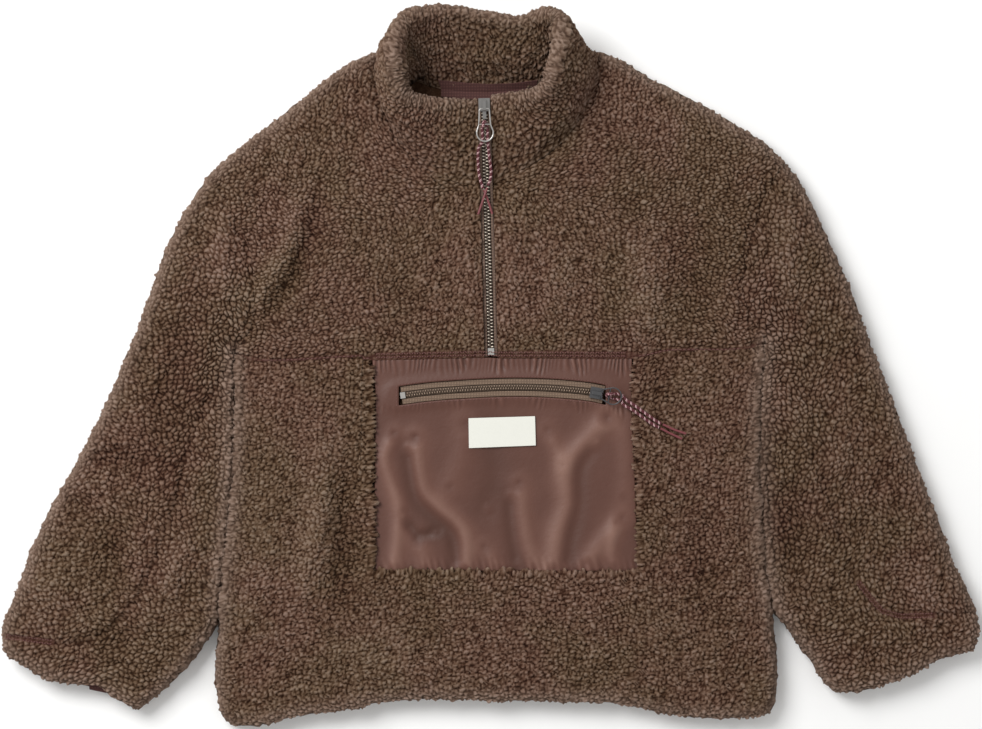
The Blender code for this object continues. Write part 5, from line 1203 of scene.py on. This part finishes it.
def tube(name, route, radius, finish, around=12, spacing=0.45, braid=0.0):
    """A round tube along a route, with a map that counts turns round it and millimetres along it."""
    line = smooth(route, 10)
    count = max(6, int(length_of(line) / spacing))
    path = along(line, np.linspace(0, 1, count))
    ahead = unit(np.gradient(path, axis=0))
    side = unit(np.cross(ahead, (0.0, 0.0, 1.0)))
    up = np.cross(side, ahead)
    turn = np.arange(around) / around
    run = arc_lengths(path)
    weave = np.sin(2 * math.pi * (turn[None] * 4 + run[:, None] / 2.4)) * np.sin(
        2 * math.pi * (turn[None] * 4 - run[:, None] / 2.4))
    reach = radius * (1 + braid * weave)
    angle = 2 * math.pi * turn[None, :, None]
    outward = np.cos(angle) * side[:, None] + np.sin(angle) * up[:, None]
    points = path[:, None] + reach[..., None] * outward
    faces = tube_faces(count, around)
    piece = mesh_piece(name, points.reshape(-1, 3), [f[:, ::-1] for f in faces], finish, {
        "turn": np.tile(turn, count), "run": np.repeat(run, around)})
    return piece, (path + (*LAY_SHIFT, 0)) * MM


# Finishes

class Finish:
    """A material in the making: helpers that add a node and join it to what feeds it."""

    def __init__(self, name, rough, metal=0.0):
        self.material = bpy.data.materials.new(name)
        self.material.use_nodes = True
        self.tree = self.material.node_tree
        self.shader = self.tree.nodes["Principled BSDF"]
        self.shader.inputs["Roughness"].default_value = rough
        self.shader.inputs["Metallic"].default_value = metal
        self.place = self.add("ShaderNodeTexCoord").outputs["Object"]

    def add(self, kind, **settings):
        node = self.tree.nodes.new(kind)
        for key, value in settings.items():
            setattr(node, key, value)
        return node

    def join(self, source, target):
        self.tree.links.new(source, target)

    def attribute(self, name):
        node = self.add("ShaderNodeAttribute", attribute_name=name)
        return node.outputs["Fac"]

    def noise(self, scale, detail=2.0, rough=0.5, place=None):
        node = self.add("ShaderNodeTexNoise")
        node.inputs["Scale"].default_value = scale
        node.inputs["Detail"].default_value = detail
        node.inputs["Roughness"].default_value = rough
        self.join(place or self.place, node.inputs["Vector"])
        return node.outputs["Fac"]

    def math(self, kind, a, b=None, c=None):
        node = self.add("ShaderNodeMath", operation=kind)
        for socket, value in zip(node.inputs, (a, b, c)):
            if value is None:
                continue
            if isinstance(value, (int, float)):
                socket.default_value = value
            else:
                self.join(value, socket)
        return node.outputs[0]

    def ramp(self, source, stops):
        node = self.add("ShaderNodeValToRGB")
        band = node.color_ramp
        while len(band.elements) < len(stops):
            band.elements.new(0.5)
        for element, (position, colour) in zip(band.elements, stops):
            element.position = position
            element.color = (*colour, 1)
        self.join(source, node.inputs["Fac"])
        return node.outputs["Color"]

    def mix(self, share, a, b, blend="MIX"):
        node = self.add("ShaderNodeMix", data_type="RGBA", blend_type=blend)
        for socket, value in ((node.inputs[0], share), (node.inputs[6], a), (node.inputs[7], b)):
            if isinstance(value, (int, float)):
                socket.default_value = value
            elif isinstance(value, tuple):
                socket.default_value = (*value, 1)
            else:
                self.join(value, socket)
        return node.outputs[2]

    def bump(self, height, strength, depth):
        node = self.add("ShaderNodeBump")
        node.inputs["Strength"].default_value = strength
        node.inputs["Distance"].default_value = depth
        self.join(height, node.inputs["Height"])
        self.join(node.outputs["Normal"], self.shader.inputs["Normal"])

    def colour(self, source):
        if isinstance(source, tuple):
            self.shader.inputs["Base Color"].default_value = (*source, 1)
        else:
            self.join(source, self.shader.inputs["Base Color"])

    def sheen(self, weight, rough, tint):
        self.shader.inputs["Sheen Weight"].default_value = weight
        self.shader.inputs["Sheen Roughness"].default_value = rough
        self.shader.inputs["Sheen Tint"].default_value = (*tint, 1)


def sherpa_finish():
    """Curly pile in two drifts: painted shade darkens the cracks and fold troughs, painted light makes
    crowns, fold ridges and edges paler.
    """
    f = Finish("sherpa_pile", 0.95)
    pile, tint, fuzz_and_rim_light, band, fold_shade = (f.attribute(label) for label in ("pile", "tint", "fuzz_and_rim_light", "band", "fold_shade"))
    fibre = f.noise(1500, 3, 0.65)
    strands = f.noise(420, 3, 0.6)
    lift = f.math("MULTIPLY_ADD", fibre, 0.5, f.math("MULTIPLY_ADD", tint, 0.22, -0.36))
    lift = f.math("ADD", lift, f.math("MULTIPLY_ADD", strands, 0.5, -0.25))
    # The fold relief mark adds painted shade in troughs and painted light on ridges.
    depth = f.math("ADD", f.math("MULTIPLY_ADD", fold_shade, 0.25, f.math("MULTIPLY", pile, 0.95)), lift)
    # Painted shade and highlight: low depth, in the cracks between curls, is darkest; high depth, on the
    # crowns, is palest.
    rosy = f.ramp(depth, ((0.08, (0.017, 0.005, 0.003)), (0.34, (0.047, 0.019, 0.0105)),
                          (0.6, (0.111, 0.058, 0.038)), (0.85, (0.178, 0.107, 0.076)),
                          (1.0, (0.235, 0.156, 0.122))))
    olive = f.ramp(depth, ((0.08, (0.015, 0.006, 0.002)), (0.34, (0.041, 0.019, 0.0085)),
                           (0.6, (0.099, 0.058, 0.033)), (0.85, (0.163, 0.106, 0.069)),
                           (1.0, (0.220, 0.158, 0.114))))
    drift = f.ramp(f.noise(16, 3, 0.55), ((0.4, (0, 0, 0)), (0.62, (1, 1, 1))))
    body = f.mix(drift, olive, rosy)
    # Painted rim light: near the edges the colour turns towards this paler ramp.
    edge = f.ramp(depth, ((0.0, (0.060, 0.032, 0.021)), (0.55, (0.160, 0.104, 0.076)),
                          (1.0, (0.29, 0.205, 0.162))))
    body = f.mix(f.math("MULTIPLY", fuzz_and_rim_light, 0.92), body, edge)
    f.colour(f.mix(f.math("MULTIPLY", band, 0.6), body, (0.072, 0.027, 0.021)))
    relief = f.math("ADD", f.noise(850, 3, 0.65), f.math("MULTIPLY", fibre, 0.45))
    f.bump(f.math("ADD", relief, f.math("MULTIPLY", strands, 1.4)), 0.9, 0.0011)
    f.shader.inputs["Specular IOR Level"].default_value = 0.12
    f.sheen(0.07, 0.5, (0.62, 0.42, 0.32))
    return f.material


def satin_finish():
    """Soft satin: dusty rose brown, with painted highlight on fold ridges and gathers and painted shade in
    their valleys, and a fine cross grain.
    """
    f = Finish("pocket_satin", 0.5)
    # The shine mark paints the fold highlights and the shade in the valleys.
    shine = f.math("ADD", f.attribute("shine"), f.math("MULTIPLY_ADD", f.noise(30, 3, 0.5), 1.4, -0.7))
    shine = f.math("MULTIPLY_ADD", shine, 0.28, 0.33)
    tone = f.ramp(shine, ((0.0, (0.062, 0.022, 0.013)), (0.35, (0.092, 0.035, 0.023)),
                          (0.6, (0.130, 0.056, 0.039)), (1.0, (0.225, 0.120, 0.090))))
    grain = f.noise(2600, 1, 0.5)
    f.colour(f.mix(f.math("MULTIPLY", grain, 0.35), tone, (0.070, 0.030, 0.022)))
    f.bump(f.math("MULTIPLY_ADD", f.noise(260, 3, 0.6), 1.5, f.math("MULTIPLY", grain, 0.4)), 0.25, 0.0006)
    f.shader.inputs["Specular IOR Level"].default_value = 0.35
    f.sheen(0.06, 0.35, (0.85, 0.6, 0.55))
    return f.material


def woven_finish(name, light, dark, rough=0.85, scale=900.0):
    """Close weave: two tones in fine checks, with a low bump."""
    f = Finish(name, rough)
    waves = []
    for axis in ("X", "Y"):
        wave = f.add("ShaderNodeTexWave", bands_direction=axis)
        wave.inputs["Scale"].default_value = scale / 6
        wave.inputs["Distortion"].default_value = 1.2
        wave.inputs["Detail Scale"].default_value = 3
        f.join(f.place, wave.inputs["Vector"])
        waves.append(wave.outputs["Fac"])
    weave = f.math("MULTIPLY", *waves)
    f.colour(f.mix(f.math("ADD", weave, f.math("MULTIPLY", f.noise(500), 0.3)), dark, light))
    f.bump(weave, 0.5, 0.0002)
    return f.material


def metal_finish(name, colour, rough):
    f = Finish(name, rough, 1.0)
    f.colour(f.mix(f.noise(60, 2), colour, tuple(c * 0.8 for c in colour)))
    f.bump(f.noise(900, 2), 0.12, 0.0001)
    return f.material


def cord_finish():
    """A round braid, dark burgundy, with small pale flecks in two winding rows."""
    f = Finish("braided_cord", 0.75)
    turn, run = f.attribute("turn"), f.attribute("run")
    wind = f.math("FRACT", f.math("MULTIPLY_ADD", run, 1 / 4.2, turn))
    pale = f.math("LESS_THAN", wind, 0.3)
    plait = f.math("GREATER_THAN", f.math("SINE", f.math("MULTIPLY_ADD", run, 7.5, f.math(
        "MULTIPLY", turn, 25.13))), 0.15)
    f.colour(f.mix(f.math("MULTIPLY", pale, plait), (0.070, 0.008, 0.013), (0.74, 0.50, 0.50)))
    f.bump(f.noise(2500, 1), 0.3, 0.0001)
    f.sheen(0.2, 0.4, (0.7, 0.45, 0.45))
    return f.material


def flecked_finish():
    """The same braid where it bends round the pull's bar: dark burgundy with small pale flecks."""
    f = Finish("braided_bend", 0.75)
    flecks = f.ramp(f.noise(1100, 1, 0.4), ((0.56, (0, 0, 0)), (0.60, (1, 1, 1))))
    f.colour(f.mix(flecks, (0.075, 0.010, 0.016), (0.55, 0.33, 0.34)))
    f.bump(f.noise(2500, 1), 0.4, 0.0002)
    f.sheen(0.2, 0.4, (0.7, 0.45, 0.45))
    return f.material


def plain_finish(name, colour, rough, scale=800.0):
    f = Finish(name, rough)
    grain = f.noise(scale, 2)
    f.colour(f.mix(grain, tuple(c * 0.75 for c in colour), tuple(c * 1.2 for c in colour)))
    f.bump(grain, 0.3, 0.0001)
    return f.material


# The stage

def build_camera():
    """Straight above the jacket, at the height and width of the photograph."""
    data = bpy.data.cameras.new("camera")
    data.sensor_width = SENSOR
    data.lens = SENSOR * CAMERA_HEIGHT / VIEW_WIDTH
    camera = bpy.data.objects.new("camera", data)
    camera.location = ((VIEW_CENTRE[0] + LAY_SHIFT[0]) * MM, (VIEW_CENTRE[1] + LAY_SHIFT[1]) * MM,
                       (CAMERA_HEIGHT + VIEW_PLANE) * MM)
    bpy.context.scene.collection.objects.link(camera)
    bpy.context.scene.camera = camera


def build_light():
    """A large soft light from the upper left, and an even pale surround."""
    world = bpy.data.worlds.new("surround")
    world.use_nodes = True
    world.node_tree.nodes["Background"].inputs["Color"].default_value = (1.0, 0.995, 0.985, 1)
    world.node_tree.nodes["Background"].inputs["Strength"].default_value = SURROUND
    bpy.context.scene.world = world
    data = bpy.data.lights.new("softbox", "AREA")
    data.shape = "SQUARE"
    data.size = LAMP_SIZE
    data.energy = LAMP_WATTS
    lamp = bpy.data.objects.new("softbox", data)
    lamp.location = LAMP_PLACE
    lamp.rotation_euler = (-lamp.location).to_track_quat("-Z", "Y").to_euler()
    bpy.context.scene.collection.objects.link(lamp)


def build_floor():
    """A plain, nearly white sheet under the jacket."""
    mesh = bpy.data.meshes.new("floor")
    mesh.from_pydata([(x * FLOOR_REACH, y * FLOOR_REACH, FLOOR_LEVEL)
                      for x, y in ((-1, -1), (1, -1), (1, 1), (-1, 1))], [], [(0, 1, 2, 3)])
    f = Finish("pale_floor", 0.9)
    f.colour(f.mix(f.noise(40), (0.885, 0.885, 0.88), (0.90, 0.90, 0.895)))
    mesh.materials.append(f.material)
    floor = bpy.data.objects.new("floor", mesh)
    bpy.context.scene.collection.objects.link(floor)


def finish_node(frame, node, finish):
    frame["nodes"][node].data.materials.clear()
    frame["nodes"][node].data.materials.append(finish)


def settle(piece, body, node=None):
    """A piece rides on a body; where a node is named, that node is hidden and the piece stands for it."""
    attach(piece, body)
    if node:
        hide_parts(node)


def main():
    for old in list(bpy.data.objects):
        bpy.data.objects.remove(old, do_unlink=True)
    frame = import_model()
    build_camera()
    bpy.context.scene.view_settings.view_transform = "Standard"

    cord, bend = cord_finish(), flecked_finish()
    tip_finish = plain_finish("sealed_tip", (0.17, 0.04, 0.045), 0.45)
    for node, route in CORDS.items():
        body = "neck_pull" if node.startswith("neck") else "pocket_pull"
        piece, path = tube(node + "_braid", route, CORD / 2, cord, braid=0.07)
        settle(piece, body, node)
    for node in CORD_TIPS.values():
        finish_node(frame, node, tip_finish)
    for node in ("neck_bight", "pocket_bight"):
        finish_node(frame, node, bend)

    sherpa = sherpa_finish()
    pieces = {
        "front_upper_left": (build_front_upper("left", sherpa), (0.205, 0.235), 0.037),
        "front_upper_right": (build_front_upper("right", sherpa), (0.215, 0.235), 0.037),
        "front_lower": (build_front_lower(sherpa), (0.425, 0.285), 0.112),
        "back": (build_back(sherpa), (0.43, 0.51), 0.19),
        "sleeve_left": (build_sleeve("left", sherpa), (0.31, 0.42), 0.10),
        "sleeve_right": (build_sleeve("right", sherpa), (0.31, 0.42), 0.10),
        "collar": (build_collar(sherpa), (0.42, 0.07), 0.026),
    }
    for node, (piece, flat, area) in pieces.items():
        settle(piece, "jacket", node)
    satin = build_pocket(satin_finish())
    settle(satin, "jacket", "pocket_panel")

    neck_metal = metal_finish("neck_teeth", (0.46, 0.40, 0.33), 0.36)
    pocket_metal = metal_finish("pocket_teeth", (0.27, 0.20, 0.15), 0.38)
    neck_path, pocket_path = neck_zip_path(), pocket_zip_path()
    teeth = build_teeth("neck_teeth", neck_path, *NECK_TEETH, neck_metal)
    settle(teeth, "jacket", "neck_zip_chain")
    teeth = build_teeth("pocket_teeth", pocket_path, *POCKET_TEETH, pocket_metal)
    settle(teeth, "jacket", "pocket_zip_chain")

    neck_bed = plain_finish("neck_zip_bed", (0.045, 0.026, 0.018), 0.85, 1500.0)
    pocket_bed = plain_finish("pocket_zip_bed", (0.115, 0.078, 0.055), 0.85, 1500.0)
    settle(build_bed("neck_zip_bed", neck_path, 0.03, 0.96, neck_bed), "jacket")
    settle(build_bed("pocket_zip_bed", pocket_path, 0.03, 0.94, pocket_bed), "jacket")
    thread = plain_finish("burgundy_thread", (0.15, 0.062, 0.053), 0.7, 1500.0)
    settle(seam_stitches(thread), "jacket")
    settle(slot_stitches(thread), "jacket")

    neck_tape = woven_finish("neck_tape", (0.17, 0.11, 0.078), (0.085, 0.050, 0.036))
    pocket_tape = woven_finish("pocket_tape", (0.20, 0.135, 0.092), (0.11, 0.070, 0.047))
    twill = woven_finish("burgundy_twill", (0.115, 0.045, 0.038), (0.060, 0.020, 0.018))
    label = woven_finish("label_weave", (0.73, 0.73, 0.67), (0.67, 0.67, 0.61), 0.8, 2400.0)
    for node, finish in (("neck_zip_tape_left", neck_tape), ("neck_zip_tape_right", neck_tape),
                         ("pocket_zip_tape_upper", pocket_tape), ("pocket_zip_tape_lower", pocket_tape),
                         ("neck_facing", twill), ("cuff_facing", twill), ("label", label)):
        finish_node(frame, node, finish)
    nickel = metal_finish("bright_nickel", (0.60, 0.58, 0.55), 0.28)
    dull = metal_finish("dull_nickel", (0.30, 0.29, 0.28), 0.34)
    gunmetal = metal_finish("gunmetal", (0.13, 0.13, 0.135), 0.32)
    for node, finish in (("neck_zip_slider", dull), ("neck_zip_pull", nickel), ("neck_zip_stop", nickel),
                         ("pocket_zip_slider", gunmetal), ("pocket_zip_pull", gunmetal),
                         ("pocket_zip_stop", nickel)):
        finish_node(frame, node, finish)

    build_light()
    build_floor()


main()
